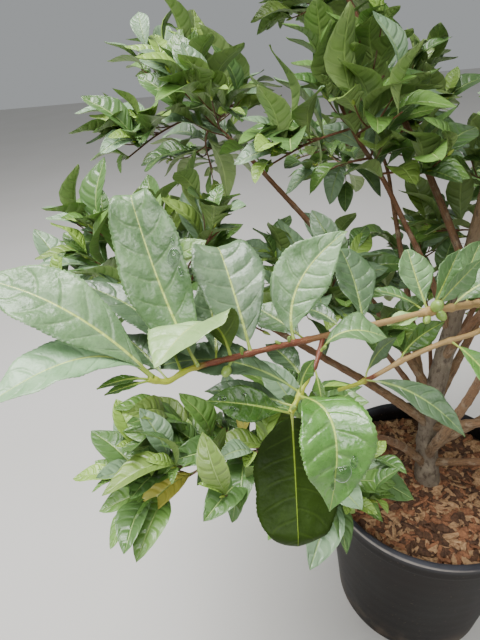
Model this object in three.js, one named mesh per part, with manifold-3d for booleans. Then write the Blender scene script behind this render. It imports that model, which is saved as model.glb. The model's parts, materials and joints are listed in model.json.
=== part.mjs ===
// Young tea bush in a nursery pot. Millimetres, z up, origin at the centre of the pot's underside.
// The near branch hangs over the pot's left side and is laid out leaf by leaf. The other masses
// of leaves grow by one seeded rule, each inside its own part of the crown.
import * as THREE from 'three';
import { mergeVertices } from 'three/addons/utils/BufferGeometryUtils.js';
import Module from 'manifold-3d';

const wasm = await Module();
wasm.setup();

const GAP = 0.3;
const FINEST_EDGE = 0.002;
const THINNEST_FACE = 0.0005;

// Pot
const POT_HEIGHT = 270;
const POT_RIM_RADIUS = 146;
const POT_LIP_RADIUS = 138.5;
const POT_BAND_RADIUS = 144.5;
const POT_BAND_HEIGHT = 28;
const POT_NECK_RADIUS = 140;
const POT_FOOT_RADIUS = 115;
const POT_WALL = 2.6;
const POT_FLOOR = 3.5;
const POT_SIDES = 36;

// Potting mix
const MIX_EDGE_HEIGHT = 243;
const MIX_CROWN = 4;
const MIX_SIDES = 22;

// Leaves
const LEAF_LENGTH = 92;
const LEAF_HALF_WIDTH = 23;
const LEAF_THICKNESS = 1.5;
const LEAF_ROOT = 0.6;
const LEAF_SPACING = 8;
const LEAF_APART = 30;
const SIDE_TWIGS = 7;
const LEADER_RADIUS = 2.9;
const TWIG_RADIUS = 1.35;
const CELL_MARGIN = 0.8;
const LIMB_CLEARANCE = 9;

// The side the bush is looked at from: an eye above the left front, and its right, up and near.
const EYE = [-250, -460, 840];
const RIGHT = [0.9962, -0.0462, -0.0739];
const RISE = [0.0872, 0.5279, 0.8448];
const NEAR = [0, -0.848, 0.5299];
const NICHE_DEPTH = 370;
const NICHE_HALF_WIDTH = 0.56;
const NICHE_HALF_HEIGHT = 0.72;

const TRUNK = {
  points: [[4, 3, 232], [3, 2, 246], [0, 3, 270], [-6, 6, 330], [-4, 12, 420], [6, 18, 520], [14, 22, 640], [18, 22, 735], [20, 27, 808]],
  radii: [19, 14.5, 12.5, 11.5, 9.5, 8, 6, 4.6, 3.2],
  sides: 10,
};

// Each bough leaves the trunk at its first point and ends where its mass of leaves begins.
const BOUGHS = {
  front: { points: [[-3, 4, 300], [-14, -50, 402], [-22, -100, 512], [-36, -138, 606], [-50, -152, 640]], radii: [7, 3] },
  left_low: { points: [[-3, 4, 280], [-48, -23, 346], [-92, -60, 407], [-141, -101, 463]], radii: [6.5, 2.8] },
  left: { points: [[-6, 8, 356], [-88, -4, 438], [-176, -14, 515], [-232, -16, 562]], radii: [6.5, 2.8] },
  rear_left: { points: [[-5, 11, 400], [-63, 52, 495], [-127, 93, 587], [-201, 125, 674]], radii: [6, 2.8] },
  rear: { points: [[-6, 7, 338], [-10, 80, 440], [-15, 160, 548], [-18, 205, 606]], radii: [6.5, 2.8] },
  rear_right: { points: [[-5, 9, 380], [55, 62, 452], [112, 109, 531], [177, 160, 600]], radii: [6, 2.8] },
  right: { points: [[-4, 5, 312], [69, -7, 380], [141, -18, 450], [215, -28, 518]], radii: [6.5, 2.8] },
  right_low: { points: [[-1, 3, 286], [39, -33, 321], [82, -65, 355], [130, -93, 388]], radii: [5.5, 2.8] },
  front_right: { points: [[-6, 8, 350], [38, -68, 428], [92, -146, 506], [124, -188, 550]], radii: [6, 2.8] },
  front_top: { points: [[0, 15, 462], [0, -23, 528], [1, -63, 594], [5, -106, 656]], radii: [5, 2.5] },
  top_right: { points: [[7, 19, 542], [66, 30, 620], [126, 44, 696], [148, 50, 724]], radii: [5, 2.5] },
  heart: { points: [[1, 15, 442], [27, 31, 492], [51, 46, 542]], radii: [5, 2.5] },
  mid_left: { points: [[3, 17, 500], [-29, 23, 574], [-66, 31, 645]], radii: [5, 2.5] },
  top_rear: { points: [[10, 20, 582], [-28, 68, 680], [-72, 118, 776], [-88, 134, 812]], radii: [4.6, 2.5] },
  low_rear: { points: [[0, 3, 300], [12, 46, 360], [18, 90, 418]], radii: [5.5, 2.6] },
  inner_left: { points: [[-5, 10, 372], [-40, 26, 424], [-76, 40, 474]], radii: [5, 2.6] },
};

// Each mass of leaves fills a rounded space about its middle, as wide as its reach allows.
const MASSES = {
  left_low: { middle: [-255, -140, 490], reach: [150, 120, 100], leaves: 19, seed: 33 },
  left: { middle: [-310, 0, 610], reach: [165, 150, 135], leaves: 20, seed: 3 },
  rear_left: { middle: [-260, 155, 735], reach: [165, 155, 145], leaves: 20, seed: 8 },
  rear: { middle: [-30, 270, 680], reach: [170, 155, 145], leaves: 20, seed: 20 },
  rear_right: { middle: [220, 200, 650], reach: [170, 160, 140], leaves: 20, seed: 6 },
  right: { middle: [300, -40, 590], reach: [165, 165, 140], leaves: 19, seed: 12 },
  right_low: { middle: [195, -165, 440], reach: [150, 140, 100], leaves: 19, seed: 7 },
  front_right: { middle: [165, -225, 625], reach: [155, 150, 140], leaves: 19, seed: 5 },
  heart: { middle: [80, 70, 625], reach: [130, 125, 125], leaves: 20, seed: 43 },
  mid_left: { middle: [-120, 40, 735], reach: [130, 130, 125], leaves: 20, seed: 14 },
  front_top: { middle: [15, -150, 780], reach: [140, 140, 130], leaves: 19, seed: 14 },
  top_right: { middle: [200, 40, 790], reach: [155, 155, 135], leaves: 20, seed: 4 },
  top: { middle: [20, 40, 900], reach: [140, 135, 100], leaves: 20, seed: 53 },
  top_rear: { middle: [-125, 165, 880], reach: [150, 145, 110], leaves: 20, seed: 12 },
  low_rear: { middle: [20, 160, 500], reach: [145, 125, 105], leaves: 20, seed: 38 },
  inner_left: { middle: [-150, 60, 540], reach: [140, 125, 110], leaves: 20, seed: 25 },
};

const FRONT_MIDDLE = [-200, -245, 680];

// Near branch: stems through points, then leaves by root, middle, tip and half width.
// Middle, tip and half width are measured from the root, as right, up and near.
const FRONT_STEMS = [
  { points: [[-64, -163, 651], [-83, -179, 661], [-132, -207, 676]], radii: [2.6, 2.2] },
  { points: [[-128, -205, 675], [-164, -222, 681], [-194, -236, 686], [-222, -248, 690]], radii: [2.2, 1.9] },
  { points: [[-219, -247, 690], [-252, -261, 694], [-282, -272, 696], [-296, -278, 698]], radii: [1.9, 1.4] },
  { points: [[-205, -241, 687], [-211, -254, 680], [-218, -263, 675], [-228, -276, 666]], radii: [1.6, 1.3] },
  { points: [[-64, -164, 650], [-94, -204, 656], [-125, -216, 657], [-155, -229, 656]], radii: [1.9, 1.6] },
  { points: [[-153, -228, 656], [-180, -241, 653], [-197, -249, 655]], radii: [1.6, 1.1] },
];

const FRONT_LEAVES = [
  { root: [-294, -277, 698], middle: [-36, 31, 12], tip: [-82, 47, 4], half: [-8, -12, 8] },
  { root: [-294, -278, 698], middle: [-28, 11, 14], tip: [-66, -10, 34], half: [2, -9, 12] },
  { root: [-281, -272, 696], middle: [-22, 28, -16], tip: [-62, 46, -22], half: [5, 7, -8] },
  { root: [-273, -269, 697], middle: [-15, 32, 4], tip: [-30, 77, 8], half: [17, 4, 0], curl: [14, 130] },
  { root: [-246, -258, 695], middle: [-7, 25, 0], tip: [-15, 50, -6], half: [18, 2, -2], curl: [20, 120] },
  { root: [-256, -263, 692], middle: [-13, 23, 12], tip: [-31, 2, 30], half: [-16, -2, -8] },
  { root: [-222, -248, 691], middle: [3, 32, 0], tip: [18, 57, 2], half: [16, -3, 3], curl: [16, 120] },
  { root: [-181, -224, 681], middle: [1, 24, -8], tip: [-6, 46, -14], half: [14, -2, -4], curl: [6, 100] },
  { root: [-208, -249, 683], middle: [13, 12, 8], tip: [36, 8, 2], half: [-2, -7, 10] },
  { root: [-230, -276, 666], middle: [-20, 7, 14], tip: [-40, 10, 22], half: [1, 8, -5] },
  { root: [-222, -270, 671], middle: [12, -15, 26], tip: [12, -50, 22], half: [-18, -1, 0] },
  { root: [-228, -276, 667], middle: [4, -31, -2], tip: [9, -65, 6], half: [20, 0, 0] },
  { root: [-223, -266, 671], middle: [-37, 17, 4], tip: [-77, 13, 12], half: [0, 8, -8] },
  { root: [-231, -272, 671], middle: [-20, 3, -8], tip: [-42, 3, -14], half: [0, 5, -9] },
  { root: [-221, -260, 674], middle: [-7, 12, -10], tip: [-17, 18, -22], half: [8, 3, -3] },
  { root: [-222, -269, 671], middle: [1, 10, 4], tip: [7, 19, 2], half: [4, -1, -2] },
  { root: [-213, -256, 679], middle: [2, -8, 4], tip: [4, -20, 4], half: [3, 0, 4] },
  { root: [-215, -244, 688], middle: [-12, 10, -12], tip: [-28, 20, -26], half: [5, 8, -6] },
  { root: [-193, -234, 686], middle: [-8, 9, -10], tip: [-21, 13, -14], half: [2, 5, -4] },
  { root: [-288, -275, 697], middle: [-15, 13, -14], tip: [-29, 21, -26], half: [5, 5, -6] },
  { root: [-264, -265, 694], middle: [-2, 21, -14], tip: [-9, 46, -22], half: [-9, 2, 0] },
  { root: [-294, -278, 697], middle: [-11, 1, 6], tip: [-24, -3, 10], half: [0, 2, -3] },
  { root: [-294, -278, 697], middle: [-10, -2, 6], tip: [-21, -6, 8], half: [0, 2, -3] },
  { root: [-180, -241, 654], middle: [29, -8, 8], tip: [57, -32, 6], half: [-4, -7, 5] },
  { root: [-179, -240, 654], middle: [8, 14, -4], tip: [22, 24, -10], half: [5, -2, -4] },
  { root: [-155, -229, 656], middle: [12, 12, -8], tip: [34, 24, -16], half: [-6, 5, 3] },
  { root: [-132, -207, 676], middle: [-6, 17, 0], tip: [-11, 38, -4], half: [12, 2, -3], curl: [4, 90] },
  { root: [-130, -206, 676], middle: [9, 18, 0], tip: [20, 39, -4], half: [9, -3, -4] },
  { root: [-128, -205, 675], middle: [14, 17, 4], tip: [28, 32, 6], half: [5, -7, -8] },
  { root: [-134, -208, 677], middle: [-15, 10, -6], tip: [-32, 14, -10], half: [1, 4, -7] },
  { root: [-134, -208, 676], middle: [-13, -3, 6], tip: [-27, -8, 10], half: [1, 4, -5] },
  { root: [-112, -196, 670], middle: [14, 14, 6], tip: [30, 20, 14], half: [-3, 8, -6] },
  { root: [-96, -187, 665], middle: [4, 24, -6], tip: [16, 46, -12], half: [13, -3, -3] },
  { root: [-86, -181, 662], middle: [6, -16, 10], tip: [14, -40, 14], half: [-13, -3, 4] },
  { root: [-118, -214, 657], middle: [14, -14, 8], tip: [34, -38, 8], half: [-9, -5, 6] },
];

const FRONT_BUDS = [
  { middle: [-129, -211, 682], radius: 4.2 },
  { middle: [-124, -208, 673], radius: 3.4 },
  { middle: [-259, -268, 691], radius: 2.8 },
];

const vec = (p) => new THREE.Vector3(p[0], p[1], p[2]);

// Whole-number generator, so the crown comes out the same every time.
class Dice {
  constructor(seed) {
    this.state = seed >>> 0;
    this.roll();
    this.roll();
  }

  roll() {
    this.state = (Math.imul(this.state, 1664525) + 1013904223) >>> 0;
    return this.state / 4294967296;
  }

  between(low, high) {
    return low + (high - low) * this.roll();
  }
}

function solidOf(positions, faces) {
  const mesh = new wasm.Mesh({
    numProp: 3,
    vertProperties: new Float32Array(positions),
    triVerts: new Uint32Array(faces),
  });
  return new wasm.Manifold(mesh);
}

function largestOf(solid) {
  const bodies = solid.decompose();
  bodies.sort((a, b) => Math.abs(b.volume()) - Math.abs(a.volume()));
  return bodies[0];
}

function geometryOf(solid) {
  const mesh = solid.getMesh();
  const positions = new Float32Array(mesh.numVert * 3);
  for (let i = 0; i < mesh.numVert; i += 1) {
    for (let j = 0; j < 3; j += 1) {
      positions[i * 3 + j] = mesh.vertProperties[i * mesh.numProp + j];
    }
  }
  const geometry = new THREE.BufferGeometry();
  geometry.setAttribute('position', new THREE.BufferAttribute(positions, 3));
  geometry.setIndex(Array.from(mesh.triVerts));
  return geometry;
}

// True where no two corners lie so close, and no face is so thin, that rounding would lose them.
function isSound(solid) {
  const geometry = geometryOf(solid);
  const corners = geometry.attributes.position;
  const index = geometry.index.array;
  const face = new THREE.Triangle();
  for (let i = 0; i < index.length; i += 3) {
    face.setFromAttributeAndIndices(corners, index[i], index[i + 1], index[i + 2]);
    const long = Math.max(face.a.distanceTo(face.b), face.b.distanceTo(face.c), face.c.distanceTo(face.a));
    if ((2 * face.getArea()) / long < THINNEST_FACE) {
      return false;
    }
  }
  return mergeVertices(geometry, FINEST_EDGE).attributes.position.count === corners.count;
}

function solidOfGeometry(source) {
  source.deleteAttribute('normal');
  source.deleteAttribute('uv');
  const geometry = mergeVertices(source, 1e-3);
  return solidOf(Array.from(geometry.attributes.position.array), Array.from(geometry.index.array));
}

// Stations along a smooth line through the given points, with a radius that tapers by length.
function stationsAlong(points, radii, count) {
  const curve = new THREE.CatmullRomCurve3(points.map(vec), false, 'centripetal');
  const stations = [];
  for (let i = 0; i <= count; i += 1) {
    const u = i / count;
    const place = u * (radii.length - 1);
    const k = Math.min(Math.floor(place), radii.length - 2);
    const radius = radii[k] + (radii[k + 1] - radii[k]) * (place - k);
    stations.push({ at: curve.getPointAt(u), radius });
  }
  return stations;
}

// Closed tube of flat faces through the stations.
function tube(stations, sides) {
  const positions = [];
  const faces = [];
  const last = stations.length - 1;
  const along = stations[last].at.clone().sub(stations[0].at).normalize();
  const across = Math.abs(along.z) > 0.8 ? vec([1, 0, 0]) : vec([0, 0, 1]);
  stations.forEach((station, i) => {
    const before = stations[Math.max(i - 1, 0)].at;
    const after = stations[Math.min(i + 1, last)].at;
    const tangent = after.clone().sub(before).normalize();
    const u = across.clone().addScaledVector(tangent, -across.dot(tangent)).normalize();
    const v = tangent.clone().cross(u);
    for (let j = 0; j < sides; j += 1) {
      const angle = (2 * Math.PI * j) / sides;
      const p = station.at.clone();
      p.addScaledVector(u, Math.cos(angle) * station.radius);
      p.addScaledVector(v, Math.sin(angle) * station.radius);
      positions.push(p.x, p.y, p.z);
    }
  });
  for (let i = 0; i < last; i += 1) {
    for (let j = 0; j < sides; j += 1) {
      const a = i * sides + j;
      const b = i * sides + ((j + 1) % sides);
      faces.push(a, b, b + sides, a, b + sides, a + sides);
    }
  }
  for (let j = 1; j < sides - 1; j += 1) {
    faces.push(0, j + 1, j);
    faces.push(last * sides, last * sides + j, last * sides + j + 1);
  }
  return solidOf(positions, faces);
}

// The same tube thicker and longer all round, for cutting a neighbour clear of it.
function grownTube(stations, sides, margin) {
  const grown = stations.map((s) => ({ at: s.at.clone(), radius: s.radius + margin }));
  const last = grown.length - 1;
  const head = stations[0].at.clone().sub(stations[1].at).normalize();
  const tail = stations[last].at.clone().sub(stations[last - 1].at).normalize();
  grown[0].at.addScaledVector(head, margin);
  grown[last].at.addScaledVector(tail, margin);
  return tube(grown, sides);
}

// Leaf of the crowd: six points of outline, folded along the midrib and arched, with a thick middle.
function crowdLeaf(spec) {
  const { root, along, across, up, length, half } = spec;
  const place = (s, w, h) => root.clone()
    .addScaledVector(along, s * length)
    .addScaledVector(across, w * half)
    .addScaledVector(up, h * length);
  return [
    root.clone().addScaledVector(along, -LEAF_ROOT),
    place(0.34, 0.92, 0.1),
    place(0.7, 0.82, 0.07),
    place(1, 0, -0.08),
    place(0.7, -0.82, 0.07),
    place(0.34, -0.92, 0.1),
    place(0.5, 0, 0.05),
    place(0.5, 0, 0.05).addScaledVector(up, -LEAF_THICKNESS),
  ];
}

function crowdLeafSolid(corners) {
  const faces = [];
  for (let i = 0; i < 6; i += 1) {
    const next = (i + 1) % 6;
    faces.push(6, next, i);
    faces.push(7, i, next);
  }
  return solidOf(corners.flatMap((p) => [p.x, p.y, p.z]), faces);
}

// Distance from a point to the nearest limb's surface.
function limbDistance(point, limbs) {
  let nearest = Infinity;
  const line = new THREE.Line3();
  const foot = new THREE.Vector3();
  for (const limb of limbs) {
    for (let i = 0; i + 1 < limb.length; i += 1) {
      line.set(limb[i].at, limb[i + 1].at);
      line.closestPointToPoint(point, true, foot);
      nearest = Math.min(nearest, foot.distanceTo(point) - limb[i].radius);
    }
  }
  return nearest;
}

function inNiche(point) {
  const d = point.clone().sub(vec(EYE));
  const depth = -d.dot(vec(NEAR));
  if (depth < 0 || depth > NICHE_DEPTH) {
    return false;
  }
  const side = Math.abs(d.dot(vec(RIGHT)));
  const height = Math.abs(d.dot(vec(RISE)));
  return side < NICHE_HALF_WIDTH * depth && height < NICHE_HALF_HEIGHT * depth;
}

// A mass keeps the points that lie nearer to its own middle than to any other.
function insideCell(point, name, middles) {
  const own = middles[name];
  for (const [other, middle] of Object.entries(middles)) {
    if (other !== name) {
      const normal = middle.clone().sub(own);
      const half = normal.length() / 2;
      normal.normalize();
      if (point.clone().sub(own).dot(normal) > half - CELL_MARGIN) {
        return false;
      }
    }
  }
  return true;
}

function insideReach(point, mass) {
  const d = point.clone().sub(vec(mass.middle));
  return (d.x / mass.reach[0]) ** 2 + (d.y / mass.reach[1]) ** 2 + (d.z / mass.reach[2]) ** 2 < 1.2;
}

// Twigs of one mass: a leader from the bough's tip through the middle, and side twigs whose ends
// are spread evenly over the rounded space.
function twigsOf(mass, start, heading, dice) {
  const middle = vec(mass.middle);
  const span = middle.clone().sub(start);
  const ahead = span.clone().normalize();
  const goal = middle.clone().add(ahead.clone().multiply(vec(mass.reach)).multiplyScalar(0.5));
  goal.z += 0.1 * mass.reach[2];
  const bend = start.clone().addScaledVector(heading, 0.45 * span.length());
  const leader = [start, bend, middle, goal].map((p) => p.toArray());
  const twigs = [{ points: leader, radii: [LEADER_RADIUS, 0.75 * LEADER_RADIUS], order: 0 }];
  const curve = new THREE.CatmullRomCurve3(leader.map(vec), false, 'centripetal');
  for (let k = 0; k < SIDE_TWIGS; k += 1) {
    const height = 0.9 - (1.7 * (k + 0.5)) / SIDE_TWIGS;
    const azimuth = 2.4 * k + dice.between(-0.3, 0.3);
    const flat = Math.sqrt(1 - height * height);
    const out = vec([flat * Math.cos(azimuth), flat * Math.sin(azimuth), height]);
    const end = middle.clone().add(out.clone().multiply(vec(mass.reach)).multiplyScalar(dice.between(0.58, 0.76)));
    const forward = out.dot(ahead);
    const u = 0.55 + 0.3 * forward + dice.between(-0.05, 0.05);
    const from = curve.getPointAt(u);
    const elbow = from.clone().lerp(end, 0.5);
    elbow.z -= 0.06 * from.distanceTo(end);
    elbow.addScaledVector(curve.getTangentAt(u), 0.1 * from.distanceTo(end));
    twigs.push({ points: [from, elbow, end].map((p) => p.toArray()), radii: [TWIG_RADIUS, 0.9 * TWIG_RADIUS], order: 1 });
  }
  return twigs;
}

// Leaves set one after another round a twig, leaning out and turning their faces up.
function leavesOn(twig, mass, dice) {
  const curve = new THREE.CatmullRomCurve3(twig.points.map(vec), false, 'centripetal');
  const total = curve.getLength();
  const leaves = [];
  let turn = dice.between(0, 6.28);
  for (let s = total; s > 0.2 * total; s -= LEAF_SPACING * dice.between(0.8, 1.2)) {
    const u = s / total;
    const root = curve.getPointAt(u);
    const axis = curve.getTangentAt(u);
    turn += 2.4;
    const outward = root.clone().sub(vec(mass.middle)).normalize();
    const along = vec([0.7 * Math.cos(turn), 0.7 * Math.sin(turn), 0.4]);
    along.addScaledVector(axis, 0.5).addScaledVector(outward, 0.35).normalize();
    const up = vec([dice.between(-0.5, 0.5), dice.between(-0.5, 0.5), 1]);
    up.addScaledVector(along, -up.dot(along)).normalize();
    const across = up.clone().cross(along);
    const size = dice.between(0.8, 1.1);
    leaves.push({ root, along, across, up, length: LEAF_LENGTH * size, half: LEAF_HALF_WIDTH * size });
  }
  return leaves;
}

function leafFits(corners, name, mass, middles, limbs) {
  const samples = corners.slice();
  for (const [a, b] of [[0, 6], [6, 3], [1, 5], [2, 4], [1, 2], [4, 5], [0, 1], [0, 5], [2, 3], [3, 4]]) {
    samples.push(corners[a].clone().lerp(corners[b], 0.5));
  }
  for (const p of samples) {
    if (!insideCell(p, name, middles) || !insideReach(p, mass) || inNiche(p)) {
      return false;
    }
    if (limbDistance(p, limbs) < LIMB_CLEARANCE) {
      return false;
    }
  }
  return true;
}

// Cut a twig where it would leave its mass's space or touch a limb.
function trimmedTwig(twig, name, middles, limbs, steps) {
  const stations = stationsAlong(twig.points, twig.radii, steps * 4);
  const kept = [];
  for (const station of stations) {
    const free = insideCell(station.at, name, middles) && !inNiche(station.at);
    const apart = twig.order === 0 || limbDistance(station.at, limbs) > 4;
    if (!free || !apart) {
      break;
    }
    kept.push(station);
  }
  const whole = [];
  for (let i = 0; i < kept.length; i += 4) {
    whole.push(kept[i]);
  }
  return whole.length > 1 ? whole : null;
}

function massSolid(name, mass, start, heading, middles, limbs) {
  const dice = new Dice(mass.seed * 7919);
  const twigs = twigsOf(mass, start, heading, dice);
  const stems = [];
  const candidates = [];
  for (const twig of twigs) {
    const stations = trimmedTwig(twig, name, middles, limbs, twig.order === 0 ? 4 : 2);
    if (stations) {
      const points = stations.map((s) => s.at.toArray());
      for (const spec of leavesOn({ points, order: twig.order }, mass, dice)) {
        const corners = crowdLeaf(spec);
        if (leafFits(corners, name, mass, middles, limbs)) {
          candidates.push({ corners, stem: stems.length, lot: dice.roll() });
        }
      }
      stems.push(tube(stations, 3));
    }
  }
  const blades = [];
  const centres = [];
  candidates.sort((a, b) => a.lot - b.lot);
  let body = largestOf(wasm.Manifold.union(stems));
  for (const { corners, stem } of candidates) {
    const spaced = centres.every((centre) => centre.distanceTo(corners[6]) > LEAF_APART);
    if (spaced && blades.length < mass.leaves) {
      const blade = crowdLeafSolid(corners);
      const others = blades.concat(stems.filter((other, k) => k !== stem));
      const joined = body.add(blade);
      const apart = others.every((other) => blade.intersect(other).isEmpty());
      if (apart && joined.decompose().length === 1 && isSound(joined)) {
        body = joined;
        blades.push(blade);
        centres.push(corners[6]);
      }
    }
  }
  return largestOf(body);
}

// Point at right, up and near of the viewer, counted from a root.
function seenFrom(root, offset) {
  return vec(root)
    .addScaledVector(vec(RIGHT), offset[0])
    .addScaledVector(vec(RISE), offset[1])
    .addScaledVector(vec(NEAR), offset[2]);
}

// Midrib of a near leaf: a bow through root, middle and tip, then an optional roll of the tip.
function midribOf(leaf, steps) {
  const a = vec(leaf.root);
  const b = seenFrom(leaf.root, leaf.middle);
  const c = seenFrom(leaf.root, leaf.tip);
  const across = seenFrom([0, 0, 0], leaf.half).normalize();
  const line = [];
  for (let i = 0; i <= steps; i += 1) {
    const s = i / steps;
    line.push(new THREE.Vector3()
      .addScaledVector(a, (1 - s) * (1 - 2 * s))
      .addScaledVector(b, 4 * s * (1 - s))
      .addScaledVector(c, s * (2 * s - 1)));
  }
  if (leaf.curl) {
    const [reach, degrees] = leaf.curl;
    const tangent = c.clone().sub(line[steps - 1]).normalize();
    const upper = across.clone().cross(tangent).normalize();
    const axis = upper.clone().cross(tangent).normalize();
    const bends = 2;
    let at = c.clone();
    for (let i = 0; i < bends; i += 1) {
      tangent.applyAxisAngle(axis, THREE.MathUtils.degToRad(degrees) / bends);
      at = at.clone().addScaledVector(tangent, reach / bends);
      line.push(at);
    }
  }
  return { line, across };
}

function leafOutline(u) {
  return Math.sin(Math.PI * Math.min(Math.max(u, 0), 1) ** 1.25) ** 0.9;
}

// Near leaf as a closed blade with a raised keel below and a shallow fold above.
function nearLeafSolid(leaf) {
  const petiole = 5;
  const { line, across } = midribOf(leaf, 4);
  const half = Math.hypot(...leaf.half);
  const lengths = [0];
  for (let i = 1; i < line.length; i += 1) {
    lengths.push(lengths[i - 1] + line[i].distanceTo(line[i - 1]));
  }
  const total = lengths[line.length - 1];
  const positions = [];
  const faces = [];
  line.forEach((at, i) => {
    const before = line[Math.max(i - 1, 0)];
    const after = line[Math.min(i + 1, line.length - 1)];
    const tangent = after.clone().sub(before).normalize();
    const x = across.clone().addScaledVector(tangent, -across.dot(tangent)).normalize();
    const n = x.clone().cross(tangent);
    const u = (lengths[i] - petiole) / (total - petiole);
    const width = Math.max(half * leafOutline(u), i === line.length - 1 ? 0.5 : 0.9);
    const keel = i === line.length - 1 ? 0.4 : Math.min(1.1, 0.5 + width * 0.12);
    const fold = 0.12 * width;
    const ring = [
      at.clone().addScaledVector(x, width).addScaledVector(n, fold),
      at.clone().addScaledVector(n, i === 0 ? 0.9 : 0.2),
      at.clone().addScaledVector(x, -width).addScaledVector(n, fold),
      at.clone().addScaledVector(n, -keel),
    ];
    for (const p of ring) {
      positions.push(p.x, p.y, p.z);
    }
  });
  const last = line.length - 1;
  for (let i = 0; i < last; i += 1) {
    for (let j = 0; j < 4; j += 1) {
      const a = i * 4 + j;
      const b = i * 4 + ((j + 1) % 4);
      faces.push(a, b + 4, b, a, a + 4, b + 4);
    }
  }
  faces.push(0, 1, 2, 0, 2, 3);
  faces.push(last * 4, last * 4 + 2, last * 4 + 1, last * 4, last * 4 + 3, last * 4 + 2);
  return solidOf(positions, faces);
}

function frontSolid(start, heading) {
  const neck = start.clone().addScaledVector(heading, 8);
  const root = { points: [start.toArray(), neck.toArray(), FRONT_STEMS[0].points[0]], radii: [2.9, 2.7] };
  const parts = [tube(stationsAlong(root.points, root.radii, 4), 5)];
  for (const stem of FRONT_STEMS) {
    parts.push(tube(stationsAlong(stem.points, stem.radii, stem.points.length), 5));
  }
  for (const leaf of FRONT_LEAVES) {
    parts.push(nearLeafSolid(leaf));
  }
  for (const bud of FRONT_BUDS) {
    const ball = new THREE.IcosahedronGeometry(bud.radius);
    ball.translate(...bud.middle);
    parts.push(solidOfGeometry(ball));
  }
  return largestOf(wasm.Manifold.union(parts));
}

function potGeometry() {
  const band = POT_HEIGHT - POT_BAND_HEIGHT;
  const inner = POT_FOOT_RADIUS - POT_WALL;
  const profile = [
    [0, 0],
    [POT_FOOT_RADIUS - 3, 0],
    [POT_FOOT_RADIUS, 3],
    [POT_NECK_RADIUS, band - 4],
    [POT_BAND_RADIUS, band],
    [POT_BAND_RADIUS + 0.6, POT_HEIGHT - 7],
    [POT_RIM_RADIUS + 1.5, POT_HEIGHT - 3.5],
    [POT_RIM_RADIUS, POT_HEIGHT - 0.6],
    [POT_RIM_RADIUS - 3, POT_HEIGHT],
    [POT_LIP_RADIUS + 1.4, POT_HEIGHT - 1.2],
    [POT_LIP_RADIUS, POT_HEIGHT - 4],
    [POT_NECK_RADIUS - POT_WALL, band - 4],
    [inner, POT_FLOOR],
    [0, POT_FLOOR],
  ];
  return new THREE.LatheGeometry(profile.map(([r, z]) => new THREE.Vector2(r, z)), POT_SIDES);
}

function lathed(geometry) {
  geometry.rotateX(Math.PI / 2);
  return solidOfGeometry(geometry);
}

// Radius of the pot's inside wall at a height.
function potInside(z) {
  const band = POT_HEIGHT - POT_BAND_HEIGHT - 4;
  const low = POT_FOOT_RADIUS - POT_WALL;
  const high = POT_NECK_RADIUS - POT_WALL;
  if (z > band) {
    return high + ((POT_LIP_RADIUS - high) * (z - band)) / (POT_HEIGHT - 4 - band);
  }
  return low + ((high - low) * (z - POT_FLOOR)) / (band - POT_FLOOR);
}

function mixGeometry() {
  const clear = 1.2;
  const floor = POT_FLOOR + GAP;
  const profile = [
    [0, floor],
    [potInside(floor) - clear, floor],
    [potInside(120) - clear, 120],
    [potInside(MIX_EDGE_HEIGHT - 6) - clear, MIX_EDGE_HEIGHT - 6],
    [potInside(MIX_EDGE_HEIGHT) - clear - 3, MIX_EDGE_HEIGHT],
    [90, MIX_EDGE_HEIGHT + MIX_CROWN * 0.6],
    [45, MIX_EDGE_HEIGHT + MIX_CROWN],
    [0, MIX_EDGE_HEIGHT + MIX_CROWN],
  ];
  return new THREE.LatheGeometry(profile.map(([r, z]) => new THREE.Vector2(r, z)), MIX_SIDES);
}

const bush = new THREE.Group();

function add(name, solid, color, roughness) {
  const material = new THREE.MeshStandardMaterial({ color, roughness, metalness: 0 });
  const mesh = new THREE.Mesh(geometryOf(solid), material);
  mesh.name = name;
  bush.add(mesh);
}

const trunkStations = stationsAlong(TRUNK.points, TRUNK.radii, 10);
const grownTrunk = grownTube(trunkStations, TRUNK.sides, 2 * GAP);

add('pot', lathed(potGeometry()), 0x2c2b2d, 0.6);
add('potting_mix', lathed(mixGeometry()).subtract(grownTrunk), 0x6d4a3a, 0.95);
add('trunk', tube(trunkStations, TRUNK.sides), 0x75604c, 0.85);

const limbs = { trunk: trunkStations };
for (const [name, bough] of Object.entries(BOUGHS)) {
  const stations = stationsAlong(bough.points, bough.radii, 6);
  limbs[name] = stations;
  add(`bough_${name}`, largestOf(tube(stations, 6).subtract(grownTrunk)), 0x7d6650, 0.8);
}

const middles = { front: vec(FRONT_MIDDLE) };
for (const [name, mass] of Object.entries(MASSES)) {
  middles[name] = vec(mass.middle);
}

// Where a mass begins, just clear of its limb's tip, and the way it heads.
function startFrom(stations) {
  const last = stations.length - 1;
  const heading = stations[last].at.clone().sub(stations[last - 1].at).normalize();
  return { start: stations[last].at.clone().addScaledVector(heading, GAP), heading };
}

const frontRoot = startFrom(limbs.front);
add('leaves_front', frontSolid(frontRoot.start, frontRoot.heading), 0x5f8458, 0.5);
for (const [name, mass] of Object.entries(MASSES)) {
  const { start, heading } = startFrom(limbs[name === 'top' ? 'trunk' : name]);
  const solid = massSolid(name, mass, start, heading, middles, Object.values(limbs));
  add(`leaves_${name}`, solid, 0x557a4d, 0.5);
}

export default bush;
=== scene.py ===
"""Dresses the potted tea bush: pot, bark chips, limbs, crown of leaves and the near branch."""

from __future__ import annotations

import json
import logging
import math
from dataclasses import dataclass, field
from enum import Enum, IntEnum

import bpy
import numpy as np
from mathutils import Matrix, Vector, noise

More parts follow.
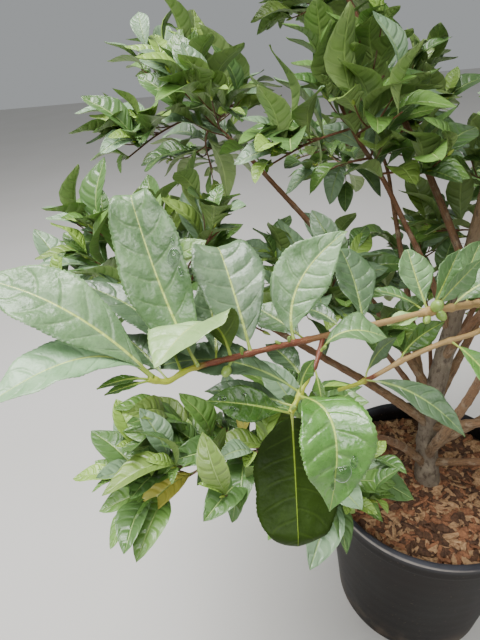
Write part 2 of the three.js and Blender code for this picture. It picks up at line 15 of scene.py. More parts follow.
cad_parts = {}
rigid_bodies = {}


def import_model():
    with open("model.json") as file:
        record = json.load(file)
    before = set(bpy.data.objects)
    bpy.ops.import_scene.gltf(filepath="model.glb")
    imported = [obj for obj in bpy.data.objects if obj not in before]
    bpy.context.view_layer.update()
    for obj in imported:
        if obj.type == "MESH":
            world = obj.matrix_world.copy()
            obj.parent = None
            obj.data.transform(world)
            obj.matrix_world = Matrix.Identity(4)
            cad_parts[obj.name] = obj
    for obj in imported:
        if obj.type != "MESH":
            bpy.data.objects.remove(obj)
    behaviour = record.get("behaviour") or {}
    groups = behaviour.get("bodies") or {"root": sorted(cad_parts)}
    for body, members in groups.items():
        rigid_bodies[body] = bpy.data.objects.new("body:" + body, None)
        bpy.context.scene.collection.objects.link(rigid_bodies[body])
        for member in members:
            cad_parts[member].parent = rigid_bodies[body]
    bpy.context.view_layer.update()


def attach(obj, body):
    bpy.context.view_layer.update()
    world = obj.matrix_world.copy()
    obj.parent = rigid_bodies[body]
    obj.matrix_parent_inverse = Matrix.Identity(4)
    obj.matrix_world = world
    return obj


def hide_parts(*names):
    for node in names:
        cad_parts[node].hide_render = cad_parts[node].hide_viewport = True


LOG = logging.getLogger("tea_bush")
MM = 0.001
BODY = "root"
ANY_TURN = 6.28
SPIRAL = 2.4
VEIN_PAIRS = 7.0
VEIN_BEND = 0.45
VEIN_SWEEP = 0.6
VEIN_POWER = 2.6
VEIN_STEP = 0.42

Colour = tuple[float, float, float, float]
Shade = tuple[int, int, int]
Socket = bpy.types.NodeSocket


def paint(red: int, green: int, blue: int) -> Colour:
    """Returns the linear colour of a 0 to 255 screen colour."""
    def linear(value: int) -> float:
        """Returns one channel as a linear share."""
        share = value / 255
        return share / 12.92 if share <= 0.04045 else ((share + 0.055) / 1.055) ** 2.4

    return linear(red), linear(green), linear(blue), 1.0


def unit(vector: np.ndarray) -> np.ndarray:
    """Returns the vector at length one."""
    return vector / max(float(np.linalg.norm(vector)), 1e-12)


def rounds(sides: int) -> list[tuple[float, float]]:
    """Returns the cosine and sine of evenly spaced angles round a circle."""
    angles = (2 * math.pi * k / sides for k in range(sides))
    return [(math.cos(angle), math.sin(angle)) for angle in angles]


def lengths_of(track: np.ndarray) -> np.ndarray:
    """Returns how far along a track each of its points lies."""
    return np.concatenate([[0], np.cumsum(np.linalg.norm(np.diff(track, axis=0), axis=1))])


def points_at(track: np.ndarray, lengths: np.ndarray, places: np.ndarray) -> np.ndarray:
    """Returns the points of a track at given lengths along it."""
    return np.stack([np.interp(places, lengths, track[:, k]) for k in range(3)], axis=1)


class Dice:
    """The whole-number generator that the source grows the crown by."""

    def __init__(self, seed: int) -> None:
        """Starts from a seed.

        Args:
            seed: Any whole number.
        """
        self.state = seed % 4294967296
        self.roll()
        self.roll()

    def roll(self) -> float:
        """Returns the next number from 0 up to 1."""
        self.state = (self.state * 1664525 + 1013904223) % 4294967296
        return self.state / 4294967296

    def between(self, low: float, high: float) -> float:
        """Returns the next number from low to high."""
        return low + (high - low) * self.roll()


class Line:
    """Smooth line through points, measured by its own length."""

    DIVISIONS = 200

    def __init__(self, points: list) -> None:
        """Lays the line.

        Args:
            points: Points in millimetres that the line passes through.
        """
        self.points = np.array(points, float)
        self.shares = np.linspace(0, 1, self.DIVISIONS + 1)
        self.track = np.array([self._raw(t) for t in self.shares])
        self.lengths = lengths_of(self.track)
        self.length = float(self.lengths[-1])

    def _raw(self, t: float) -> np.ndarray:
        """Returns the point at a share of the control points."""
        pts = self.points
        count = len(pts)
        place = (count - 1) * t
        k = min(int(place), count - 2)
        weight = place - k
        p1, p2 = pts[k], pts[k + 1]
        p0 = pts[k - 1] if k > 0 else 2 * p1 - p2
        p3 = pts[k + 2] if k + 2 < count else 2 * p2 - p1
        gaps = [float(np.sum((b - a) ** 2)) ** 0.25 for a, b in ((p0, p1), (p1, p2), (p2, p3))]
        d0, d1, d2 = (max(g, 1e-4) for g in gaps)
        t1 = ((p1 - p0) / d0 - (p2 - p0) / (d0 + d1) + (p2 - p1) / d1) * d1
        t2 = ((p2 - p1) / d1 - (p3 - p1) / (d1 + d2) + (p3 - p2) / d2) * d1
        c2 = 3 * (p2 - p1) - 2 * t1 - t2
        c3 = 2 * (p1 - p2) + t1 + t2
        return p1 + t1 * weight + c2 * weight**2 + c3 * weight**3

    def at(self, share: float) -> np.ndarray:
        """Returns the point at a share of the whole length."""
        t = np.interp(share * self.length, self.lengths, self.shares)
        return self._raw(float(t))

    def heading(self, share: float) -> np.ndarray:
        """Returns the direction at a share of the whole length."""
        t = float(np.interp(share * self.length, self.lengths, self.shares))
        return unit(self._raw(min(t + 1e-3, 1.0)) - self._raw(max(t - 1e-3, 0.0)))


# Finishes.


class NodeMaker:
    """Adds the nodes of one tree and links them."""

    def __init__(self, tree: bpy.types.NodeTree) -> None:
        """Takes the tree to work in.

        Args:
            tree: A shader or geometry tree.
        """
        self.tree = tree

    def join(self, source: Socket, target: Socket) -> None:
        """Links one socket to another."""
        self.tree.links.new(source, target)

    def feed(self, target: Socket, value: object) -> None:
        """Links a socket to an input, or sets a number, a screen colour or another plain value on it."""
        if isinstance(value, Socket):
            self.join(value, target)
        elif target.type == "RGBA" and len(value) == 3:
            target.default_value = paint(*value)
        else:
            target.default_value = value

    def add(self, kind: str, **settings: object) -> bpy.types.Node:
        """Adds a node with its settings.

        Args:
            kind: Blender's name of the node type.
            **settings: Properties of the node, or what feeds its inputs where no property has the name.

        Returns:
            The new node.
        """
        node = self.tree.nodes.new(kind)
        for key, value in settings.items():
            if hasattr(node, key):
                setattr(node, key, value)
            else:
                self.feed(node.inputs[key.replace("_", " ")], value)
        return node

    def sum(self, kind: str, *values: object) -> Socket:
        """Returns the outcome of one arithmetic step on sockets or numbers."""
        node = self.add("ShaderNodeMath", operation=kind)
        for target, value in zip(node.inputs, values):
            self.feed(target, value)
        return node.outputs["Value"]

    def times(self, first: object, second: object) -> Socket:
        """Returns the product of two sockets or numbers."""
        return self.sum("MULTIPLY", first, second)


class Painter(NodeMaker):
    """Builds one node material, step by step."""

    def __init__(self, name: str, roughness: float) -> None:
        """Starts a material with a plain shader.

        Args:
            name: Name of the material.
            roughness: Roughness on the shader's own socket.
        """
        self.material = bpy.data.materials.new(name)
        self.material.use_nodes = True
        super().__init__(self.material.node_tree)
        self.shader = self.tree.nodes["Principled BSDF"]
        self.preset("Roughness", roughness)

    def preset(self, name: str, value: object) -> None:
        """Sets a value on one of the shader's own sockets."""
        self.shader.inputs[name].default_value = value

    def place(self, scale: tuple[float, float, float] = (1, 1, 1)) -> Socket:
        """Returns object coordinates, stretched by a scale."""
        where = self.add("ShaderNodeTexCoord").outputs["Object"]
        return self.add("ShaderNodeMapping", Vector=where, Scale=scale).outputs["Vector"]

    def split(self, vector: Socket) -> bpy.types.NodeOutputs:
        """Returns a vector's outputs X, Y and Z."""
        return self.add("ShaderNodeSeparateXYZ", Vector=vector).outputs

    def attribute(self, name: str, output: str = "Fac") -> Socket:
        """Returns what the mesh carries under a name."""
        return self.add("ShaderNodeAttribute", attribute_name=name).outputs[output]

    def noise(self, vector: Socket, scale: float, detail: float = 3.0) -> Socket:
        """Returns a cloud value from 0 to 1 at a scale."""
        return self.add("ShaderNodeTexNoise", Vector=vector, Scale=scale, Detail=detail).outputs["Fac"]

    def ramp(self, value: Socket, stops: list[tuple[float, Shade]]) -> Socket:
        """Returns a colour that runs through stops as the value rises."""
        node = self.add("ShaderNodeValToRGB", Fac=value)
        elements = node.color_ramp.elements
        elements[0].position, elements[0].color = stops[0][0], paint(*stops[0][1])
        elements[1].position, elements[1].color = stops[-1][0], paint(*stops[-1][1])
        for position, shade in stops[1:-1]:
            elements.new(position).color = paint(*shade)
        return node.outputs["Color"]

    def band(self, value: Socket, low: float, high: float) -> Socket:
        """Returns 0 below low and 1 above high, smooth between."""
        smooth = {"interpolation_type": "SMOOTHSTEP", "From_Min": low, "From_Max": high}
        return self.add("ShaderNodeMapRange", **smooth, Value=value).outputs["Result"]

    def blend(self, share: object, low: object, high: object) -> Socket:
        """Returns one colour laid over another by a share.

        Args:
            share: Socket or number from 0 to 1.
            low: Colour or socket underneath.
            high: Colour or socket on top.

        Returns:
            The blended colour's socket.
        """
        node = self.add("ShaderNodeMix", data_type="RGBA")
        for index, value in ((0, share), (6, low), (7, high)):
            self.feed(node.inputs[index], value)
        return node.outputs[2]

    def layer(self, base: object, shade: object, mask: Socket, strength: float) -> Socket:
        """Returns a colour with another laid over it where a mask is 1, at a strength."""
        return self.blend(self.times(mask, strength), base, shade)

    def vein_gap(self, along: Socket, side: Socket, shift: object = 0.0) -> Socket:
        """Returns how far a place lies from the nearest side vein.

        Args:
            along: Share of the leaf's length.
            side: Share of the half width, from -1 to 1.
            shift: How far the veins wander.

        Returns:
            The gap, 0 on a vein and 0.5 midway between two.
        """
        off = self.sum("ABSOLUTE", side)
        swept = self.times(self.sum("POWER", off, VEIN_POWER), VEIN_SWEEP)
        step = self.sum("MULTIPLY_ADD", self.sum("GREATER_THAN", side, 0.0), VEIN_STEP, 40.0)
        phase = self.sum("MULTIPLY_ADD", along, VEIN_PAIRS, step)
        phase = self.sum("SUBTRACT", phase, self.sum("MULTIPLY_ADD", off, VEIN_BEND, swept))
        return self.sum("PINGPONG", self.sum("ADD", phase, shift), 0.5)

    def colour(self, value: Socket) -> None:
        """Sets the base colour."""
        self.join(value, self.shader.inputs["Base Color"])

    def rough(self, value: Socket, low: float, high: float) -> None:
        """Varies the roughness from low to high as the value rises from 0 to 1."""
        node = self.add("ShaderNodeMapRange", Value=value, To_Min=low, To_Max=high)
        self.join(node.outputs["Result"], self.shader.inputs["Roughness"])

    def bump(self, height: Socket, depth: float, strength: float) -> None:
        """Raises the surface by a height, on top of any earlier bump."""
        node = self.add("ShaderNodeBump", Distance=depth, Strength=strength, Height=height)
        normal = self.shader.inputs["Normal"]
        if normal.is_linked:
            self.join(normal.links[0].from_socket, node.inputs["Normal"])
        self.join(node.outputs["Normal"], normal)


@dataclass(frozen=True)
class Finish:
    """A named finish, made into a material the first time it is asked for."""

    name: str

    def material(self) -> bpy.types.Material:
        """Returns the material, building it once."""
        found = bpy.data.materials.get(self.name)
        return found if found else self.mix()

    def mix(self) -> bpy.types.Material:
        """Returns a newly built material."""
        raise NotImplementedError


@dataclass(frozen=True)
class DustyPlastic(Finish):
    """Black moulded plastic of a nursery pot, with dust, splashes of soil, a rubbed outer edge on the rim and
    a painted reflection across the rolled rim.
    """

    body: Shade = (22, 19, 18)
    haze: Shade = (40, 34, 32)
    soil: Shade = (118, 100, 82)
    # lip: the lilac-grey colour of the painted reflection on top of the rolled rim.
    lip: Shade = (100, 102, 114)
    worn: Shade = (168, 160, 152)
    soil_top: float = 0.06
    rim: tuple[float, float] = (0.252, 0.268)
    edge: tuple[float, float] = (0.1462, 0.1476)

    def mix(self) -> bpy.types.Material:
        """Returns the plastic."""
        p = Painter(self.name, 0.45)
        where = p.place()
        at = p.split(where)
        clouds = p.noise(where, 9, 6)
        streaks = p.noise(p.place((1, 1, 0.12)), 46, 5)
        splash = p.times(p.band(at["Z"], self.soil_top, 0.0), p.band(p.noise(where, 48, 8), 0.34, 0.7))
        # Painted reflection: a patchy band over the rolled rim, at the rim's heights.
        rim = p.times(p.band(at["Z"], *self.rim), p.band(clouds, 0.3, 0.6))
        reach = p.sum("SQRT", p.sum("ADD", p.times(at["X"], at["X"]), p.times(at["Y"], at["Y"])))
        edge = p.times(p.band(reach, *self.edge), p.band(p.noise(where, 30, 5), 0.25, 0.5))
        base = self.body
        for shade, mask, strength in (
            (self.haze, p.band(clouds, 0.42, 0.72), 0.5),
            (self.haze, p.band(streaks, 0.55, 0.75), 0.22),
            (self.soil, splash, 0.5),
            (self.soil, p.band(p.noise(where, 260, 2), 0.66, 0.74), 0.35),
            # painted reflection on the rolled rim
            (self.lip, rim, 0.45),
            (self.worn, edge, 0.75),
        ):
            base = p.layer(base, shade, mask, strength)
        p.colour(base)
        p.rough(clouds, 0.34, 0.62)
        p.preset("Specular IOR Level", 0.2)
        p.bump(p.noise(where, 420, 3), 0.0004, 0.35)
        p.bump(clouds, 0.002, 0.25)
        return p.material


@dataclass(frozen=True)
class BarkChip(Finish):
    """Shredded bark of the mulch."""

    dark: Shade
    light: Shade

    def mix(self) -> bpy.types.Material:
        """Returns the bark chip."""
        p = Painter(self.name, 0.88)
        where = p.place()
        fibre = p.noise(where, 330, 5)
        mixed = p.sum("MULTIPLY_ADD", fibre, 0.6, p.times(p.noise(where, 60, 3), 0.4))
        p.colour(p.ramp(mixed, [(0.32, self.dark), (0.68, self.light)]))
        p.bump(fibre, 0.0012, 0.7)
        return p.material


@dataclass(frozen=True)
class LimbBark(Finish):
    """Thin bark that is red-brown on young wood and grey-tan on old wood."""

    young: Shade = (120, 78, 52)
    middle: Shade = (132, 104, 74)
    old: Shade = (122, 110, 94)
    pale: Shade = (176, 164, 142)
    dark: Shade = (62, 46, 36)

    def mix(self) -> bpy.types.Material:
        """Returns the bark."""
        p = Painter(self.name, 0.78)
        thick = p.band(p.attribute("thick"), 0.0012, 0.011)
        grown = p.ramp(thick, [(0.0, self.young), (0.45, self.middle), (1.0, self.old)])
        lengthwise = p.noise(p.attribute("ring", "Vector"), 3.2, 6)
        blotches = p.noise(p.place(), 55, 4)
        pores = p.noise(p.place((1, 1, 2.6)), 520, 1)
        base = p.layer(grown, self.pale, p.band(blotches, 0.5, 0.75), 0.55)
        base = p.layer(base, self.dark, p.band(lengthwise, 0.52, 0.3), 0.7)
        p.colour(p.layer(base, self.pale, p.band(pores, 0.68, 0.74), 0.6))
        p.rough(blotches, 0.66, 0.9)
        p.bump(lengthwise, 0.0016, 0.6)
        p.bump(pores, 0.0006, 0.5)
        return p.material


@dataclass(frozen=True)
class YoungStem(Finish):
    """Stem of the near branch: tan, red-brown, then yellow-green where it is this year's growth."""

    tan: Shade = (168, 138, 90)
    red: Shade = (112, 58, 38)
    green: Shade = (172, 184, 52)
    worn: Shade = (176, 140, 100)
    pore: Shade = (196, 172, 120)

    def mix(self) -> bpy.types.Material:
        """Returns the stem."""
        p = Painter(self.name, 0.42)
        ages = [(0.0, self.tan), (0.34, self.tan), (0.5, self.red), (0.72, self.red)]
        ages += [(0.9, self.green), (1.0, self.green)]
        grain = p.noise(p.attribute("ring", "Vector"), 4.0, 5)
        base = p.layer(p.ramp(p.attribute("age"), ages), self.worn, p.band(grain, 0.5, 0.75), 0.45)
        p.colour(p.layer(base, self.pore, p.band(p.noise(p.place(), 1500, 1), 0.66, 0.72), 0.4))
        p.rough(grain, 0.3, 0.56)
        p.bump(grain, 0.0005, 0.6)
        return p.material


@dataclass(frozen=True)
class VeinedBlade(Finish):
    """Face of a near leaf, with its midrib and veins where the leaf's own map puts them, and painted shade
    towards its base, beside its veins and in the hollows between its blisters.
    """

    body: Shade
    deep: Shade
    rib: Shade
    vein: Shade
    roughness: float
    rib_width: float = 0.0005
    vein_share: float = 0.27
    shine: float = 0.8
    edge_share: float = 0.4

    def mix(self) -> bpy.types.Material:
        """Returns the face of the leaf."""
        p = Painter(self.name, self.roughness)
        mapped = p.split(p.add("ShaderNodeUVMap", uv_map="leaf").outputs["UV"])
        along = mapped["X"]
        side = p.sum("SUBTRACT", p.times(mapped["Y"], 2.0), 1.0)
        off = p.sum("ABSOLUTE", side)
        where = p.place()
        wander = p.times(p.sum("SUBTRACT", p.noise(where, 60, 1), 0.5), 0.25)
        near = p.vein_gap(along, side, wander)
        gap = p.sum("DIVIDE", p.times(near, p.attribute("reach")), VEIN_PAIRS)
        ends = p.times(p.band(off, 0.97, 0.62), p.band(along, 0.04, 0.12))
        taper = p.times(p.sum("SUBTRACT", 1.12, along), self.rib_width * 1.5)
        beside = p.sum("DIVIDE", p.times(off, p.attribute("half")), taper)
        rib = p.band(beside, 1.15, 0.55)
        net = p.add("ShaderNodeTexVoronoi", feature="DISTANCE_TO_EDGE", Vector=where, Scale=560.0)
        cells = net.outputs["Distance"]
        clouds, blisters, fine = p.noise(where, 42, 4), p.noise(where, 130, 2), p.noise(where, 300, 3)
        base = p.blend(p.band(clouds, 0.35, 0.65), self.deep, self.body)
        for shade, mask, strength in (
            # Painted shade: darker towards the leaf's base.
            (self.deep, p.band(along, 0.6, 0.0), 0.75),
            # Painted shadow in the grooves beside the side veins.
            (self.deep, p.times(p.band(near, 0.2, 0.02), ends), 0.4),
            # Painted shade in the hollows between the blisters.
            (self.deep, p.band(blisters, 0.58, 0.36), 0.4),
            (self.vein, fine, 0.16),
            (self.vein, p.band(cells, 0.16, 0.02), 0.1),
            (self.vein, p.band(beside, 4.5, 1.0), 0.22),
            (self.vein, p.times(p.band(gap, 0.0012, 0.0001), ends), self.vein_share),
            (self.vein, p.band(off, 0.965, 1.0), self.edge_share),
        ):
            base = p.layer(base, shade, mask, strength)
        p.colour(p.blend(rib, base, self.rib))
        p.rough(fine, self.roughness - 0.07, self.roughness + 0.1)
        p.bump(cells, 0.0007, 0.16)
        p.bump(clouds, 0.004, 0.42)
        p.bump(blisters, 0.002, 0.6)
        p.bump(p.times(p.band(near, 0.14, 0.0), ends), -0.0005, 0.5)
        p.bump(rib, 0.0006, 0.6)
        p.preset("Specular IOR Level", self.shine)
        return p.material


@dataclass(frozen=True)
class PlainBlade(Finish):
    """One green of the crown, dealt out leaf by leaf, with veins where the leaf is mapped."""

    body: Shade
    roughness: float
    vein_share: float = 0.3

    def mix(self) -> bpy.types.Material:
        """Returns the green."""
        p = Painter(self.name, self.roughness)
        where = p.place()
        red, green, blue, _ = paint(*self.body)
        deep = (red * 0.74, green * 0.8, blue * 0.78, 1.0)
        pale = (red * 1.3 + 0.03, green * 1.2 + 0.03, blue * 1.3 + 0.02, 1.0)
        side = p.attribute("side")
        off = p.sum("ABSOLUTE", side)
        near = p.vein_gap(p.attribute("along"), side)
        mapped = p.times(p.band(off, 0.02, 0.12), p.band(off, 1.0, 0.8))
        clouds = p.noise(where, 38, 4)
        base = p.blend(p.band(clouds, 0.3, 0.7), deep, self.body)
        base = p.layer(base, deep, p.times(p.band(near, 0.24, 0.06), mapped), 0.5)
        p.colour(p.layer(base, pale, p.times(p.band(near, 0.07, 0.02), mapped), self.vein_share))
        p.rough(clouds, self.roughness - 0.05, self.roughness + 0.1)
        p.bump(p.noise(where, 240, 3), 0.0009, 0.35)
        p.bump(p.times(p.band(near, 0.0, 0.3), mapped), 0.0012, 0.55)
        p.preset("Specular IOR Level", 0.7)
        return p.material


@dataclass(frozen=True)
class ClearWater(Finish):
    """Water left on a leaf, with a painted reflection: pale where it turns away at its rim."""

    # Tint of the water, and the colour of the painted reflection at its rim.
    tint_and_painted_rim: Colour = (0.84, 0.9, 0.86, 1)

    def mix(self) -> bpy.types.Material:
        """Returns the water."""
        p = Painter(self.name, 0.04)
        p.preset("Base Color", self.tint_and_painted_rim)
        p.preset("IOR", 1.33)
        # Painted reflection: the drop turns from clear to its pale colour towards its rim.
        painted_rim_facing = p.add("ShaderNodeLayerWeight", Blend=0.5).outputs["Facing"]
        p.join(p.band(painted_rim_facing, 0.9, 0.45), p.shader.inputs["Transmission Weight"])
        p.bump(p.noise(p.place(), 400, 1), 0.0002, 0.1)
        return p.material


@dataclass(frozen=True)
class PaleFloor(Finish):
    """Plain pale studio floor."""

    body: Shade = (206, 203, 198)
    light: Shade = (209, 206, 202)

    def mix(self) -> bpy.types.Material:
        """Returns the floor."""
        p = Painter(self.name, 0.85)
        p.colour(p.ramp(p.noise(p.place(), 3, 2), [(0.3, self.body), (0.7, self.light)]))
        return p.material


PLASTIC = DustyPlastic("dusty_black_plastic")
CHIPS = (
    BarkChip("chip_red_brown", (88, 54, 36), (164, 112, 78)),
    BarkChip("chip_tan", (114, 82, 56), (194, 156, 116)),
    BarkChip("chip_dark", (48, 31, 23), (108, 76, 54)),
)
BARK = LimbBark("tea_bark")
STEM = YoungStem("near_stem")
SHOOT = PlainBlade("young_shoot", (160, 178, 70), 0.36)
BUD = PlainBlade("round_bud", (142, 170, 78), 0.38)
WATER = ClearWater("standing_water")


class Tint(IntEnum):
    """The greens that are dealt out over the crown's leaves."""

    GREY_GREEN = 0
    DEEP = 1
    LEAF = 2
    OLIVE = 3
    FRESH = 4
    TURNING = 5


CROWN_TOPS = {
    Tint.GREY_GREEN: PlainBlade("crown_grey_green", (136, 164, 126), 0.34),
    Tint.DEEP: PlainBlade("crown_deep", (92, 126, 66), 0.32),
    Tint.LEAF: PlainBlade("crown_leaf", (112, 150, 70), 0.33),
    Tint.OLIVE: PlainBlade("crown_olive", (126, 152, 70), 0.36),
    Tint.FRESH: PlainBlade("crown_fresh", (150, 184, 80), 0.36),
    Tint.TURNING: PlainBlade("crown_turning", (198, 188, 80), 0.45),
}
CROWN_UNDER = PlainBlade("crown_underside", (134, 158, 88), 0.5)
CROWN_RIB = PlainBlade("crown_rib", (158, 182, 104), 0.4)


class NearTint(Enum):
    """Upper faces of the near leaves: body, deep, rib, vein and roughness; one darker copy paints the shade
    on leaves that lie under the canopy.
    """

    PALE = VeinedBlade("near_pale", (124, 160, 108), (82, 120, 68), (196, 214, 100), (158, 186, 136), 0.38)
    COOL = VeinedBlade("near_cool", (146, 184, 138), (112, 156, 104), (196, 218, 116), (166, 196, 152), 0.42)
    BLUE_GREEN = VeinedBlade(
        "near_blue_green", (106, 142, 90), (70, 106, 58), (188, 208, 98), (140, 168, 112), 0.38,
    )
    GREY = VeinedBlade("near_grey", (108, 136, 98), (72, 102, 66), (182, 202, 98), (140, 160, 120), 0.38)
    GREEN = VeinedBlade("near_green", (96, 146, 62), (62, 110, 38), (178, 200, 92), (134, 168, 96), 0.28)
    # A darker copy of the leaf green, with painted shade, for leaves that lie in shade under the canopy.
    SHADE = VeinedBlade("near_shade", (86, 112, 80), (62, 88, 56), (140, 164, 84), (106, 134, 84), 0.36)
    WET = VeinedBlade(
        "near_wet", (80, 118, 46), (50, 86, 26), (164, 192, 82), (104, 142, 64), 0.2, vein_share=0.22,
    )
    FRESH = VeinedBlade(
        "near_fresh", (164, 196, 132), (138, 174, 100), (196, 212, 120), (176, 198, 136), 0.38,
    )


NEAR_UNDER = VeinedBlade(
    "near_underside", (92, 122, 44), (68, 96, 30), (150, 174, 62), (118, 146, 62), 0.45,
    rib_width=0.0006, vein_share=0.4, shine=0.3, edge_share=0.2,
)
# Underside darkened with painted shade, for the leaf that hangs in shadow.
NEAR_UNDER_PAINTED_SHADE = VeinedBlade(
    "near_underside_deep", (40, 60, 12), (27, 43, 6), (128, 152, 50), (58, 80, 22), 0.5,
    rib_width=0.0004, vein_share=0.4, shine=0.12, edge_share=0.1,
)


# Meshes.


@dataclass
class Shape:
    """Corners and faces of a mesh in millimetres, with what its finish reads."""

    corners: list = field(default_factory=list)
    faces: list = field(default_factory=list)
    slots: list = field(default_factory=list)
    marks: dict = field(default_factory=dict)
    maps: list = field(default_factory=list)

    def take(
        self, corners: list | np.ndarray, faces: list, slots: list | None = None,
        marks: dict | None = None, maps: np.ndarray | None = None,
    ) -> None:
        """Adds another closed skin.

        Args:
            corners: Its corners in millimetres.
            faces: Its faces, by corner.
            slots: Its finish for each face, the first one where none is given.
            marks: A number for each corner, by attribute name.
            maps: A pair for each corner, for the leaf map.
        """
        first = sum(len(block) for block in self.corners)
        self.corners.append(np.asarray(corners, float))
        self.faces.extend([tuple(first + i for i in face) for face in faces])
        self.slots.extend(slots if slots else [0] * len(faces))
        for name, values in (marks or {}).items():
            self.marks.setdefault(name, []).append(np.asarray(values, float))
        self.maps.append(np.zeros((len(corners), 2)) if maps is None else maps)

    def mesh(self, name: str, finishes: list[Finish]) -> bpy.types.Mesh:
        """Returns the shape as a smooth mesh in metres.

        Args:
            name: Name of the mesh.
            finishes: Its finishes, in slot order.

        Returns:
            The mesh.
        """
        data = bpy.data.meshes.new(name)
        data.from_pydata((np.concatenate(self.corners) * MM).tolist(), [], self.faces)
        for finish in finishes:
            data.materials.append(finish.material())
        data.polygons.foreach_set("material_index", self.slots)
        data.polygons.foreach_set("use_smooth", [True] * len(self.faces))
        for label, values in self.marks.items():
            mark(data, label, "FLOAT", np.concatenate(values).astype(np.float32))
        loops = np.zeros(len(data.loops), np.int32)
        data.loops.foreach_get("vertex_index", loops)
        pairs = np.concatenate(self.maps)[loops].astype(np.float32)
        data.uv_layers.new(name="leaf").data.foreach_set("uv", pairs.ravel())
        data.update()
        return data


def mark(
    data: bpy.types.Mesh, label: str, kind: str, values: list | np.ndarray, domain: str = "POINT",
) -> None:
    """Keeps a value for each point, edge or face of a mesh under a label."""
    data.attributes.new(label, kind, domain).data.foreach_set("value", values)


def grid_faces(rows: int, columns: int, ring: bool) -> list:
    """Returns the faces of a grid of corners.

    Args:
        rows: Rows of corners.
        columns: Corners in a row.
        ring: Whether the last column meets the first.

    Returns:
        Faces of four corners.
    """
    faces = []
    for i in range(rows - 1):
        for j in range(columns if ring else columns - 1):
            k = (j + 1) % columns
            faces.append((i * columns + j, i * columns + k, (i + 1) * columns + k, (i + 1) * columns + j))
    return faces


def tube_faces(rows: int, sides: int) -> list:
    """Returns the faces of rings of corners, with one face over each end."""
    last = (rows - 1) * sides
    return grid_faces(rows, sides, True) + [tuple(range(sides))[::-1], tuple(range(last, last + sides))]


def settle(data: bpy.types.Mesh, nodes: list[str]) -> None:
    """Puts a finished piece on the plant, under its mesh's name.

    Args:
        data: Its mesh in metres, already in place.
        nodes: CAD nodes that it stands for.
    """
    piece = bpy.data.objects.new(data.name, data)
    bpy.context.scene.collection.objects.link(piece)
    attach(piece, BODY)
    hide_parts(*nodes)
    data.calc_loop_triangles()
    LOG.info("%s: %d triangles", data.name, len(data.loop_triangles))


